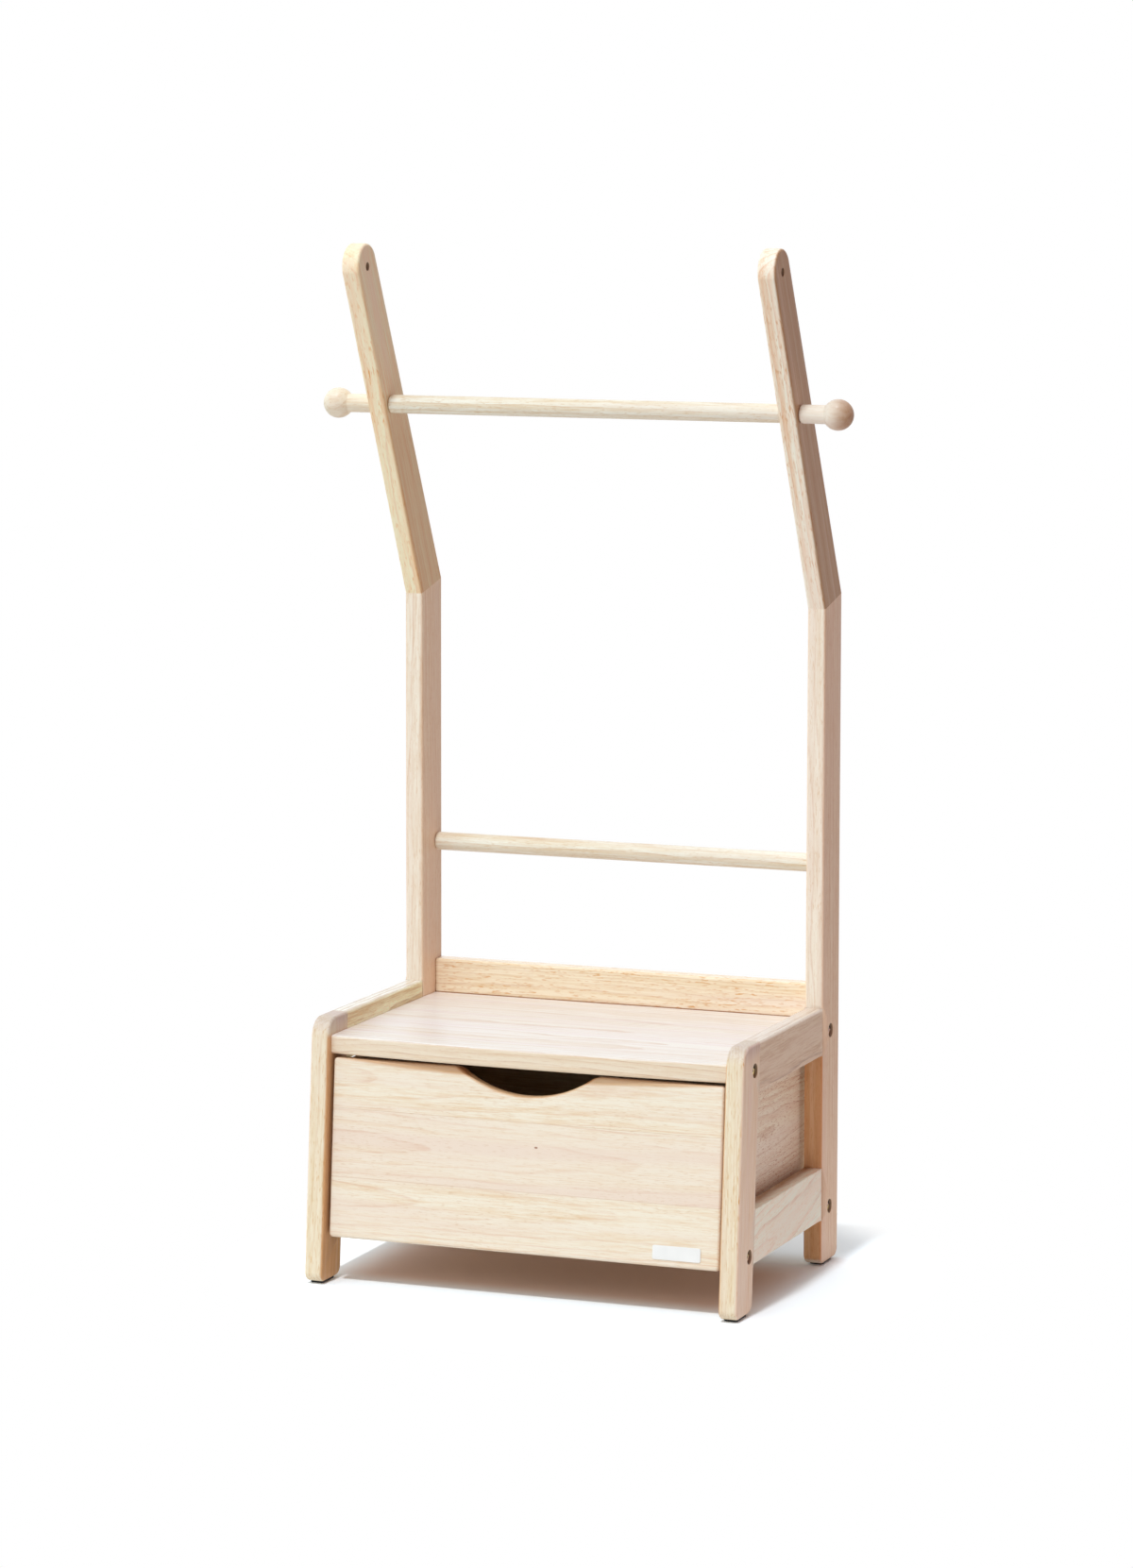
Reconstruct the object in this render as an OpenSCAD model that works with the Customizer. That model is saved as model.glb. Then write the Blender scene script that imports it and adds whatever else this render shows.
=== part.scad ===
// Child's clothes rack: two side frames with forward-leaning arms, a hanging rod with ball knobs,
// a low bench and a pull-out box under it. Millimetres, +Z up, the front faces -Y.
// The origin is on the floor, in the middle of the rack's outer box.

/* [Overall] */
// Height over the tips of the arms
height = 1100; // [1000:10:1200]
// Width over the outer faces of the two side frames
frame_w = 486; // [420:2:560]
// Depth at the floor, from the toe of the front legs to the back of the rear posts
depth = 332; // [300:1:380]
// Thickness of the side frame boards
board_t = 20; // [18:1:24]
// Rounding along the free edges of the boards
edge_r = 3; // [1:0.5:4]
// Rounding of the corners of the feet, seen from the side
foot_r = 10; // [6:1:14]

/* [Rear posts and arms] */
// Width of a rear post, seen from the side
post_w = 57; // [50:1:66]
// Height of the bend at the front edge of the post
bend_z = 713; // [640:1:780]
// Angle of the arm from the vertical
arm_lean = 26.15; // [15:0.05:32]
// Width of the arm at its round tip
arm_tip_w = 49; // [40:1:50]
// Diameter of the hole through the tip of each arm
tip_hole_d = 9; // [5:0.5:14]

/* [Front legs] */
// Width of a front leg, square to its slope
leg_w = 50; // [42:1:56]
// Angle of the front legs from the vertical
leg_lean = 4.5; // [2:0.1:7]
// Rounding of the leg's top front corner
leg_top_r = 21; // [8:1:24]

/* [Side rails] */
// Height of the top edge of the side frames
side_top_z = 282.7; // [270:0.1:300]
// Height of the top side rail's board
top_rail_h = 51.2; // [48:0.1:56]
// Height of the lower edge of the lower side rail
low_rail_z = 51.4; // [44:0.1:54]
// Height of the lower side rail's board
low_rail_h = 57; // [50:1:64]

/* [Rods] */
// Diameter of the hanging rod and of the lower bar
rod_d = 20; // [16:1:24]
// Distance of the hanging rod's axis below the tips of the arms
rod_drop = 174; // [120:1:220]
// Distance of the hanging rod's axis from the arm's front edge, square to it
rod_inset = 15; // [13:0.5:26]
// Rounding of a rod's shoulder where it meets a side frame
shoulder_r = 3; // [1:0.5:5]
// Diameter of the turned tenons on the rods and knobs
tenon_d = 12; // [8:1:13]
// Diameter of the ball on each knob
ball_d = 33; // [26:1:40]
// Distance of the ball's centre from the outer face of the arm
ball_reach = 41; // [30:1:50]
// Height of the lower bar's axis
bar_z = 433.3; // [380:0.1:480]
// Distance of the lower bar's axis from the post's rear face
bar_inset = 13; // [12:0.5:30]
// Depth of the lower bar's tenon in the post
bar_tenon = 12; // [8:1:14]

/* [Bench] */
// How far the bench's upper face lies below the top edge of the side frames
bench_drop = 18.1; // [12:0.1:22]
// Thickness of the bench top
bench_t = 20; // [18:1:24]
// How far the ends of the bench's front edge lie behind the front of the legs
bench_setback = 8; // [3:0.5:14]
// How far the middle of the bench's front edge bows forward
bench_bow = 9; // [3:0.5:12]
// Thickness of the back rail
back_rail_t = 20; // [16:1:24]
// Height of the back rail's board
back_rail_h = 57.4; // [45:0.1:80]

/* [Stretchers and runners] */
// Thickness of the two flat stretchers under the box
stretcher_t = 20; // [16:1:22]
// Height of the stretchers' middle
stretcher_z = 62; // [61:0.5:64]
// Width of each stretcher
stretcher_w = 45; // [36:1:50]
// Width of a runner
runner_w = 14; // [12:1:18]
// Height of a runner
runner_h = 12; // [8:1:16]
// Size of the block that stops the pushed-in box
stop_s = 12; // [8:1:14]

/* [Box] */
// Thickness of the box front
front_t = 16; // [14:1:18]
// Gap between the box front and the underside of the bench
top_gap = 3.3; // [2:0.1:12]
// Height of the box front's lower edge
front_z = 50.7; // [48:0.1:60]
// How far the box front lies behind the front of the legs
front_setback = 8.5; // [7:0.5:12]
// Gap at each end of the box front
end_gap = 3.5; // [2:0.5:6]
// Radius of the finger scoop's hollow
scoop_r = 128; // [110:1:150]
// Depth of the finger scoop
scoop_d = 26; // [16:1:32]
// Radius of the finger scoop's shoulders
scoop_shoulder_r = 22; // [12:1:40]
// Thickness of the box's side and back boards
side_t = 12; // [10:1:15]
// Gap between a box side and the side frame
side_gap = 6; // [4:0.5:8]
// How far the top edge of the box's sides lies below the bench
side_drop = 10; // [8:0.5:40]
// Distance of the box's back from the back of the rack
box_rear_gap = 36; // [34:1:60]
// Thickness of the box bottom
bottom_t = 5; // [4:0.5:8]
// Depth of the groove that holds the box bottom
groove_d = 5; // [3:0.5:6]
// Height of that groove above the lower edge of the box sides
groove_z = 8; // [6:1:14]

/* [Fasteners] */
// Diameter of the counterbore over each bolt head
counterbore_d = 15; // [14:0.5:16]
// Depth of that counterbore
counterbore_depth = 6; // [4:0.5:7]
// Diameter of a bolt's head
bolt_head_d = 13; // [11:0.5:13.5]
// Thickness of a bolt's head
bolt_head_t = 3.5; // [2.5:0.5:4]
// Diameter of a bolt's shank
bolt_d = 6; // [5:0.5:7]
// Size of the hexagon socket across its corners
socket_d = 4.6; // [3:0.1:6]
// Distance of the front bolts from the front edge of the leg
bolt_back = 37; // [34:0.5:40]
// Diameter of a barrel nut
barrel_d = 10; // [9:0.5:12]
// Length of a barrel nut
barrel_len = 14; // [10:1:14]
// Distance of a barrel nut from the end of the board that it sits in
barrel_inset = 35; // [28:1:40]
// Diameter of the wooden dowels
dowel_d = 8; // [6:1:8]
// Length of the wooden dowels
dowel_len = 30; // [24:2:30]
// How deep a dowel or tenon enters the 20 mm side board from its face
face_depth = 11; // [8:1:12]
// Diameter of the dowels in the box's corners
box_dowel_d = 6; // [5:0.5:7]
// Length of the dowels in the box's corners
box_dowel_len = 24; // [20:1:28]
// How deep those dowels enter the box's front and side boards
box_dowel_depth = 8; // [6:0.5:9]
// Diameter of the runners' screws
screw_d = 3.5; // [3:0.5:4]
// Diameter of the runners' screw heads
screw_head_d = 7; // [6:0.5:8]
// Thickness of the runners' screw heads
screw_head_t = 2.5; // [2:0.5:4]
// Diameter of the studs that hold the knobs
stud_d = 6; // [4:0.5:7]
// Length of the studs that hold the knobs
stud_len = 46; // [36:1:50]

/* [Feet] */
// Thickness of the foot pads
pad_t = 2.5; // [1.5:0.5:5]
// Width of a foot pad
pad_w = 15; // [10:1:17]

/* [Clearances] */
// Clearance round a glued or bolted piece in its hole
fit_gap = 0.05; // [0.02:0.01:0.1]
// Running gap under the box
run_gap = 0.3; // [0.2:0.1:0.5]

/* [Hidden] */

$fn = 64;
hull_fn = 32;
bow_fn = 720;
scoop_fn = 180;
arc_steps = 5;
// How far a cutting shape runs past a face, and how much deeper than its dowel a hole is
past = 1;
thin = 0.02;
far = 400;
// Lift of the scoop's shoulders over the edge of the box front
shoulder_lift = 0.3;
// Slack of the bolts in their holes
bolt_slack = 1;
// Distances of the bench's dowels from its front edge and from the post
bench_dowel_front = 95;
bench_dowel_rear = 60;
// Distance of a stretcher's dowel from its rear edge
stretcher_dowel_in = 12;
runner_screw_count = 3;

wood = "burlywood";
pale_wood = "wheat";
box_wood = "tan";
plated = "goldenrod";
steel = "silver";
dowel_wood = "peru";
pad_black = "dimgray";

rear_y = depth / 2;
post_y = rear_y - post_w;
outer_x = frame_w / 2;
inner_x = outer_x - board_t;
mid_x = outer_x - board_t / 2;

// Leg: its front face is a slanted plane whose rounded toe touches the front of the outer box
leg_slope = tan(leg_lean);
toe_z = pad_t + foot_r;
function leg_front_y(z) = -depth / 2 - foot_r * (1 / cos(leg_lean) - 1) + (z - toe_z) * leg_slope;
leg_span = leg_w / cos(leg_lean);
function leg_rear_y(z) = leg_front_y(z) + leg_span;

// Arm: it leaves the post on a mitre and narrows evenly to its tip
mitre = arm_lean / 2;
bend_rear_z = bend_z + post_w * tan(mitre);
mitre_mid = [post_y + post_w / 2, (bend_z + bend_rear_z) / 2];
tip_r = arm_tip_w / 2;
arm_dir = [-sin(arm_lean), cos(arm_lean)];
arm_len = (height - tip_r - mitre_mid[1]) / arm_dir[1];
arm_taper = asin((post_w / 2 - tip_r) / arm_len);
tip = mitre_mid + arm_len * arm_dir;

// The hanging rod's place is measured from the arm's front edge
rod_z = height - rod_drop;
front_edge_dir = [-sin(arm_lean - arm_taper), cos(arm_lean - arm_taper)];
front_edge_in = [cos(arm_lean - arm_taper), sin(arm_lean - arm_taper)];
front_edge_start = tip - tip_r * front_edge_in;
rod_step = (rod_z - front_edge_start[1] - rod_inset * front_edge_in[1]) / front_edge_dir[1];
rod_y = front_edge_start[0] + rod_step * front_edge_dir[0] + rod_inset * front_edge_in[0];

bar_y = rear_y - bar_inset;
bench_z = side_top_z - bench_drop;
bench_front_y = leg_front_y(bench_z) + bench_setback;
back_rail_y = rear_y - back_rail_t;
bench_low_z = bench_z - bench_t;
top_rail_z = side_top_z - top_rail_h;

// Box front: parallel to the legs' front faces
front_plane_y = leg_front_y(front_z) + front_setback / cos(leg_lean);
front_w = 2 * (inner_x - end_gap);
front_h = (bench_low_z - top_gap - front_z) / cos(leg_lean);
box_z = stretcher_z + stretcher_t / 2 + run_gap;
function front_back_y(z) = front_plane_y + (z - front_z) * leg_slope + front_t / cos(leg_lean);
box_x = inner_x - side_gap;
box_rear_y = rear_y - box_rear_gap;
side_h = bench_low_z - side_drop - box_z;
box_bottom_z = box_z + groove_z;
box_dowel_z = [box_z + side_h * 0.3, box_z + side_h * 0.8];

stretcher_front_y = front_back_y(stretcher_z + stretcher_t / 2) + run_gap + past;
stretcher_rear_y = rear_y - stretcher_w;

// Runner: a batten on the lower side rail, level with the stretchers' upper faces
runner_y0 = stretcher_front_y + stretcher_w;
runner_len = stretcher_rear_y - runner_y0;
runner_z = box_z - run_gap - runner_h;
runner_screw_y = [for (k = [1 : runner_screw_count])
    runner_y0 + runner_len * (k - 0.5) / runner_screw_count];

// A bolt's shank ends at the far side of its barrel nut
bolt_seat = outer_x - counterbore_depth;
bolt_len = bolt_seat - inner_x + barrel_inset + barrel_d / 2;
bolt_hole_d = bolt_d + 2 * fit_gap + bolt_slack;
dowel_hole_d = dowel_d + 2 * fit_gap;
tenon_hole_d = tenon_d + 2 * fit_gap;
bench_bolt_z = bench_z - bench_t / 2;
post_mid_y = post_y + post_w / 2;
function leg_bolt_y(z) = leg_front_y(z) + bolt_back;
bolt_places = [
    [leg_bolt_y(bench_bolt_z), bench_bolt_z],
    [post_mid_y, bench_bolt_z],
    [leg_bolt_y(stretcher_z), stretcher_z],
    [post_mid_y, stretcher_z]
];

// Heights of the dowels along Y that join the rails to leg and post: clear of the bolts
low_rail_top = low_rail_z + low_rail_h;
top_dowel_z = [(top_rail_z + bench_bolt_z) / 2, (side_top_z + bench_bolt_z) / 2];
low_dowel_z = [for (share = [0.4, 0.8]) stretcher_z + share * (low_rail_top - stretcher_z)];
// Dowels along X that join the cross pieces to the side frames: [y, z]
bench_dowels = [
    [bench_front_y + bench_dowel_front, bench_bolt_z],
    [post_y - bench_dowel_rear, bench_bolt_z]
];
back_rail_dowels = [for (share = [0.25, 0.75])
    [back_rail_y + back_rail_t / 2, bench_low_z + share * back_rail_h]];
stretcher_dowels = [for (y = [stretcher_front_y, stretcher_rear_y])
    [y + stretcher_w - stretcher_dowel_in, stretcher_z]];
cross_places = concat(bench_dowels, back_rail_dowels, stretcher_dowels);
mitre_dowel_step = post_w / 4;

module both_sides() {
    for (side = [-1, 1]) scale_side(side) children();
}

// Puts a piece drawn for the right-hand side on the left (-1) or leaves it there (1)
module scale_side(side) {
    if (side < 0) mirror([1, 0, 0]) children();
    else children();
}

// Flat profile with round corners, drawn from its middle
module round_rect(w, h, r) {
    square([w - 2 * r, h], center = true);
    square([w, h - 2 * r], center = true);
    for (sx = [-1, 1], sy = [-1, 1])
        translate([sx * (w / 2 - r), sy * (h / 2 - r)]) circle(r);
}

// Disc of thickness t with rounded rims, along Z
module puck(radius, t, r) {
    rotate_extrude($fn = hull_fn)
        polygon(concat(
            [[0, -t / 2]],
            [for (i = [0 : arc_steps]) let (a = -90 + 90 * i / arc_steps)
                [radius - r + r * cos(a), r - t / 2 + r * sin(a)]],
            [for (i = [0 : arc_steps]) let (a = 90 * i / arc_steps)
                [radius - r + r * cos(a), t / 2 - r + r * sin(a)]],
            [[0, t / 2]]
        ));
}

// Round end of a side frame's board, standing in the YZ plane
module rim_disc(y, z, radius, r) {
    translate([mid_x, y, z]) rotate([0, 90, 0]) puck(radius, board_t, r);
}

// Hole or round bar along X, from x0 to x1
module hole_x(y, z, d, x0, x1) {
    translate([x0, y, z]) rotate([0, 90, 0]) cylinder(d = d, h = x1 - x0);
}

// Hole or round bar along Y, from y0 to y1
module hole_y(x, z, d, y0, y1) {
    translate([x, y0, z]) rotate([-90, 0, 0]) cylinder(d = d, h = y1 - y0);
}

module bolt_holes(places) {
    for (p = places) {
        hole_x(p[0], p[1], bolt_hole_d, inner_x - past, outer_x);
        hole_x(p[0], p[1], counterbore_d, bolt_seat, outer_x + past);
    }
}

// Blind holes in the inner face of a side frame for the dowels of the cross pieces
module face_holes(places) {
    for (p = places) hole_x(p[0], p[1], dowel_hole_d, inner_x - past, inner_x + face_depth);
}

// Half-space above the mitre between post and arm
module above_mitre() {
    translate([mid_x, mitre_mid[0], mitre_mid[1]]) rotate([mitre, 0, 0])
        translate([-far / 2, -far / 2, 0]) cube([far, far, 2 * far]);
}

module below_mitre() {
    translate([mid_x, mitre_mid[0], mitre_mid[1]]) rotate([mitre, 0, 0])
        translate([-far / 2, -far / 2, -far]) cube([far, far, far]);
}

// The two dowels across the mitre, or the holes for them
module mitre_pins(d, len) {
    for (s = [-1, 1])
        translate([mid_x, mitre_mid[0], mitre_mid[1]]) rotate([mitre, 0, 0])
            translate([0, s * mitre_dowel_step, -len / 2]) cylinder(d = d, h = len);
}

// Thin slab along the leg's rear face, with the rail's rounded upper corners
module leg_rear_slab() {
    len = (side_top_z - toe_z) / cos(leg_lean);
    translate([mid_x, leg_rear_y(toe_z), toe_z]) rotate([90 - leg_lean, 0, 0]) linear_extrude(thin) {
        translate([-board_t / 2, 0]) square([board_t, len - edge_r]);
        for (s = [-1, 1])
            translate([s * (board_t / 2 - edge_r), len - edge_r]) circle(edge_r, $fn = hull_fn);
    }
}

module front_leg() {
    top_c = side_top_z - leg_top_r;
    color(wood) difference() {
        hull() {
            rim_disc(leg_front_y(top_c) + leg_top_r / cos(leg_lean), top_c, leg_top_r, edge_r);
            rim_disc(leg_front_y(toe_z) + foot_r / cos(leg_lean), toe_z, foot_r, edge_r);
            rim_disc(leg_rear_y(toe_z) - foot_r / cos(leg_lean), toe_z, foot_r, edge_r / 3);
            leg_rear_slab();
        }
        bolt_holes([bolt_places[0], bolt_places[2]]);
        for (z = concat(top_dowel_z, low_dowel_z))
            hole_y(mid_x, z, dowel_hole_d, leg_rear_y(z) - dowel_len / 2, leg_rear_y(z) + past);
    }
}

module rear_post() {
    color(wood) difference() {
        intersection() {
            union() {
                translate([mid_x, post_mid_y, side_top_z]) linear_extrude(far * 2)
                    round_rect(board_t, post_w, edge_r);
                translate([mid_x, post_mid_y, 0]) linear_extrude(side_top_z) {
                    translate([0, post_w / 4]) round_rect(board_t, post_w / 2, edge_r);
                    translate([0, -post_w / 8]) square([board_t, post_w * 3 / 4], center = true);
                }
            }
            translate([inner_x - past, 0, 0]) rotate([90, 0, 90]) linear_extrude(board_t + 2 * past) {
                translate([post_mid_y, toe_z + far]) square([post_w, 2 * far], center = true);
                translate([post_mid_y, toe_z]) square([post_w - 2 * foot_r, 2 * foot_r], center = true);
                for (y = [post_y + foot_r, rear_y - foot_r]) translate([y, toe_z]) circle(foot_r);
            }
        }
        above_mitre();
        mitre_pins(dowel_hole_d, dowel_len + past);
        bolt_holes([bolt_places[1], bolt_places[3]]);
        face_holes(concat(back_rail_dowels, [stretcher_dowels[1]]));
        hole_x(bar_y, bar_z, tenon_hole_d, inner_x - past, inner_x + bar_tenon + fit_gap);
        for (z = concat(top_dowel_z, low_dowel_z))
            hole_y(mid_x, z, dowel_hole_d, post_y - past, post_y + dowel_len / 2);
    }
}

module post_arm() {
    root_step = post_w;
    root_r = post_w / 2 + root_step * sin(arm_taper);
    root = mitre_mid - root_step * arm_dir;
    color(wood) difference() {
        hull() {
            rim_disc(tip[0], tip[1], tip_r, edge_r);
            rim_disc(root[0], root[1], root_r, edge_r);
        }
        below_mitre();
        mitre_pins(dowel_hole_d, dowel_len + past);
        hole_x(tip[0], tip[1], tip_hole_d, inner_x - past, outer_x + past);
        hole_x(rod_y, rod_z, tenon_hole_d, inner_x - past, outer_x + past);
    }
}

// Side rail between the leg's slanted rear face and the post
module side_rail(z0, h, dowel_z, face_places) {
    y0 = leg_rear_y(z0);
    difference() {
        translate([mid_x, post_y, z0 + h / 2]) rotate([90, 0, 0])
            linear_extrude(post_y - y0) round_rect(board_t, h, edge_r);
        translate([0, y0, z0]) rotate([-leg_lean, 0, 0])
            translate([0, -far, -far]) cube([far * 2, far, far * 2]);
        for (z = dowel_z) {
            hole_y(mid_x, z, dowel_hole_d, y0 - past, leg_rear_y(z) + dowel_len / 2);
            hole_y(mid_x, z, dowel_hole_d, post_y - dowel_len / 2, post_y + past);
        }
        face_holes(face_places);
    }
}

module top_side_rail() {
    color(wood) side_rail(top_rail_z, top_rail_h, top_dowel_z, bench_dowels);
}

module lower_side_rail() {
    color(wood) difference() {
        side_rail(low_rail_z, low_rail_h, low_dowel_z, [stretcher_dowels[0]]);
        runner_screw(screw_d + 2 * fit_gap, screw_head_d);
    }
}

// Half profile of a turned bar with rounded shoulders and tenons, for rotate_extrude
module bar_profile(half_len, tenon_len) {
    r = rod_d / 2;
    square([r, half_len - shoulder_r]);
    square([r - shoulder_r, half_len]);
    intersection() {
        translate([r - shoulder_r, half_len - shoulder_r]) circle(shoulder_r);
        square([r, half_len]);
    }
    square([tenon_d / 2, half_len + tenon_len]);
}

module turned_bar(y, z, half_len, tenon_len) {
    translate([0, y, z]) rotate([0, 90, 0]) {
        rotate_extrude() bar_profile(half_len, tenon_len);
        mirror([0, 0, 1]) rotate_extrude() bar_profile(half_len, tenon_len);
    }
}

module hanging_rod() {
    color(pale_wood) difference() {
        turned_bar(rod_y, rod_z, inner_x, board_t / 2 - fit_gap);
        both_sides() hole_x(rod_y, rod_z, stud_d + 2 * fit_gap, mid_x - stud_len / 2 - past, outer_x);
    }
}

// Ball, peg with a rounded shoulder and tenon, turned in one piece
module rod_knob() {
    r = rod_d / 2;
    color(pale_wood) translate([outer_x, rod_y, rod_z]) rotate([0, 90, 0]) difference() {
        rotate_extrude() {
            intersection() {
                translate([0, ball_reach]) circle(d = ball_d);
                translate([0, ball_reach - ball_d]) square([ball_d, 2 * ball_d]);
            }
            translate([0, shoulder_r]) square([r, ball_reach - shoulder_r]);
            square([r - shoulder_r, shoulder_r]);
            intersection() {
                translate([r - shoulder_r, shoulder_r]) circle(shoulder_r);
                square([r, shoulder_r]);
            }
            translate([0, -board_t / 2 + fit_gap]) square([tenon_d / 2, board_t / 2]);
        }
        translate([0, 0, -board_t]) cylinder(d = stud_d + 2 * fit_gap, h = (board_t + stud_len) / 2 + past);
    }
}

module knob_studs() {
    color(steel) both_sides() hole_x(rod_y, rod_z, stud_d, mid_x - stud_len / 2, mid_x + stud_len / 2);
}

module lower_bar() {
    color(pale_wood) turned_bar(bar_y, bar_z, inner_x, bar_tenon);
}

// Holes in both ends of a cross piece for its dowels
module end_dowel_holes(places) {
    both_sides() for (p = places)
        hole_x(p[0], p[1], dowel_hole_d, inner_x - dowel_len + face_depth - past, inner_x + past);
}

// Holes in both ends of a cross piece for bolts, and from below for their barrel nuts
module end_bolt_holes(p, low_z) {
    both_sides() {
        hole_x(p[0], p[1], bolt_hole_d, bolt_seat - bolt_len - past, inner_x + past);
        translate([inner_x - barrel_inset, p[0], low_z - past])
            cylinder(d = barrel_d + 2 * fit_gap, h = p[1] + barrel_len / 2 - low_z + past);
    }
}

module back_rail() {
    color(wood) difference() {
        translate([-inner_x, back_rail_y + back_rail_t / 2, bench_low_z + back_rail_h / 2])
            rotate([90, 0, 90]) linear_extrude(2 * inner_x) {
                round_rect(back_rail_t, back_rail_h, edge_r);
                translate([0, -back_rail_h / 4]) square([back_rail_t, back_rail_h / 2], center = true);
            }
        end_dowel_holes(back_rail_dowels);
    }
}

// Bench top: a slice of a wide ring with rounded rims, so that its front edge bows forward
module bench_top() {
    bow_r = (inner_x * inner_x + bench_bow * bench_bow) / (2 * bench_bow);
    bow_y = bench_front_y - bench_bow + bow_r;
    bow_angle = 2 * asin(inner_x / (bow_r - far)) + 2;
    color(pale_wood) difference() {
        intersection() {
            translate([0, bow_y, bench_low_z + bench_t / 2]) rotate([0, 0, -90 - bow_angle / 2])
                rotate_extrude(angle = bow_angle, $fn = bow_fn)
                    translate([bow_r - far / 2, 0]) round_rect(far, bench_t, edge_r);
            translate([-inner_x, bench_front_y - bench_bow - past, bench_low_z - past])
                cube([2 * inner_x, back_rail_y - bench_front_y + bench_bow + past, bench_t + 2 * past]);
        }
        end_dowel_holes(bench_dowels);
        end_bolt_holes(bolt_places[0], bench_low_z);
        end_bolt_holes(bolt_places[1], bench_low_z);
    }
}

module stretcher(y0, p, dowel) {
    low_z = stretcher_z - stretcher_t / 2;
    color(wood) difference() {
        translate([-inner_x, y0, low_z]) cube([2 * inner_x, stretcher_w, stretcher_t]);
        end_dowel_holes([dowel]);
        end_bolt_holes(p, low_z);
    }
}

module front_stretcher() {
    stretcher(stretcher_front_y, bolt_places[2], stretcher_dowels[0]);
}

module rear_stretcher() {
    stretcher(stretcher_rear_y, bolt_places[3], stretcher_dowels[1]);
}

// The runner's screws, or the holes for them
module runner_screw(d, head_d) {
    for (y = runner_screw_y) {
        hole_x(y, runner_z + runner_h / 2, d, inner_x - runner_w + screw_head_t / 2, inner_x + face_depth);
        hole_x(y, runner_z + runner_h / 2, head_d, inner_x - runner_w, inner_x - runner_w + screw_head_t);
    }
}

module runner() {
    color(wood) difference() {
        translate([inner_x - runner_w, runner_y0, runner_z]) cube([runner_w, runner_len, runner_h]);
        runner_screw(screw_d + 2 * fit_gap, screw_head_d + 2 * fit_gap);
    }
}

module runner_screws() {
    color(plated) both_sides() runner_screw(screw_d, screw_head_d);
}

module box_stops() {
    color(wood) both_sides() translate([inner_x / 2, box_rear_y + run_gap, stretcher_z + stretcher_t / 2])
        cube([2 * stop_s, stop_s, stop_s]);
}

// Bolt: a round head with a hexagon socket, and a shank that reaches through the barrel nut
module side_bolt() {
    difference() {
        union() {
            hole_x(0, 0, bolt_head_d, bolt_seat, bolt_seat + bolt_head_t);
            hole_x(0, 0, bolt_d, bolt_seat - bolt_len, bolt_seat + thin);
        }
        translate([bolt_seat + bolt_head_t / 3, 0, 0]) rotate([0, 90, 0])
            cylinder(d = socket_d, h = bolt_head_t, $fn = 6);
    }
}

module side_bolts() {
    color(plated) both_sides() for (p = bolt_places) translate([0, p[0], p[1]]) side_bolt();
}

module barrel_nuts() {
    color(plated) both_sides() for (p = bolt_places)
        translate([inner_x - barrel_inset, p[0], p[1]]) difference() {
            cylinder(d = barrel_d, h = barrel_len, center = true);
            rotate([0, 90, 0]) cylinder(d = bolt_d + 2 * fit_gap, h = barrel_d * 2, center = true);
        }
}

// Dowels inside the side frames: leg to rails, rails to post, post to arm
module frame_dowels() {
    color(dowel_wood) both_sides() {
        for (z = concat(top_dowel_z, low_dowel_z)) {
            for (joint_y = [leg_rear_y(z), post_y])
                hole_y(mid_x, z, dowel_d, joint_y - dowel_len / 2 + past, joint_y + dowel_len / 2 - past);
        }
        mitre_pins(dowel_d, dowel_len - past);
    }
}

// Dowels between the side frames and the bench, back rail and stretchers
module cross_dowels() {
    color(dowel_wood) both_sides() for (p = cross_places)
        hole_x(p[0], p[1], dowel_d, inner_x - dowel_len + face_depth, inner_x + face_depth - past);
}

module foot_pads() {
    leg_mid_y = (leg_front_y(toe_z) + leg_rear_y(toe_z)) / 2;
    pad_len = leg_w - 2 * foot_r;
    color(pad_black) both_sides() for (y = [leg_mid_y, post_mid_y])
        translate([mid_x, y, 0]) linear_extrude(pad_t) round_rect(pad_w, pad_len, edge_r);
}

// Puts a shape drawn on the box front's face, from the middle of its lower edge, in its place
module on_front() {
    translate([0, front_plane_y, front_z]) rotate([90 - leg_lean, 0, 0]) children();
}

// Outline of the finger scoop: a wide hollow with a shoulder of the opposite curve at each end.
// The shoulders stand a little above the board's edge, so that they run out on it at a clear angle.
module scoop_outline() {
    middle_z = front_h - scoop_d + scoop_r;
    reach = scoop_r + scoop_shoulder_r;
    shoulder_z = front_h + shoulder_lift - scoop_shoulder_r;
    shoulder_x = sqrt(reach * reach - pow(middle_z - shoulder_z, 2));
    touch = [shoulder_x, shoulder_z - middle_z] * scoop_r / reach + [0, middle_z];
    top_z = front_h + past;
    translate([0, middle_z]) circle(scoop_r, $fn = scoop_fn);
    difference() {
        polygon([[-shoulder_x, top_z], [shoulder_x, top_z], touch, [-touch[0], touch[1]]]);
        for (s = [-1, 1]) translate([s * shoulder_x, shoulder_z]) circle(scoop_shoulder_r, $fn = scoop_fn);
    }
}

// Dowels in the box's corners, or the holes for them: along Y at the front, along X at the back
module box_pins(d, spare) {
    for (z = box_dowel_z) {
        y0 = front_back_y(z) - box_dowel_depth;
        x1 = box_x - side_t + box_dowel_depth;
        hole_y(box_x - side_t / 2, z, d, y0 - spare, y0 + box_dowel_len + spare);
        hole_x(box_rear_y - side_t / 2, z, d, x1 - box_dowel_len - spare, x1 + spare);
    }
}

// Space for the box bottom: the grooves are cut with it
module bottom_panel(spare) {
    half = box_x - side_t + groove_d + spare;
    y0 = front_back_y(box_bottom_z) - groove_d - spare;
    y1 = box_rear_y - side_t + groove_d + spare;
    translate([-half, y0, box_bottom_z - spare]) cube([2 * half, y1 - y0, bottom_t + 2 * spare]);
}

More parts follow.
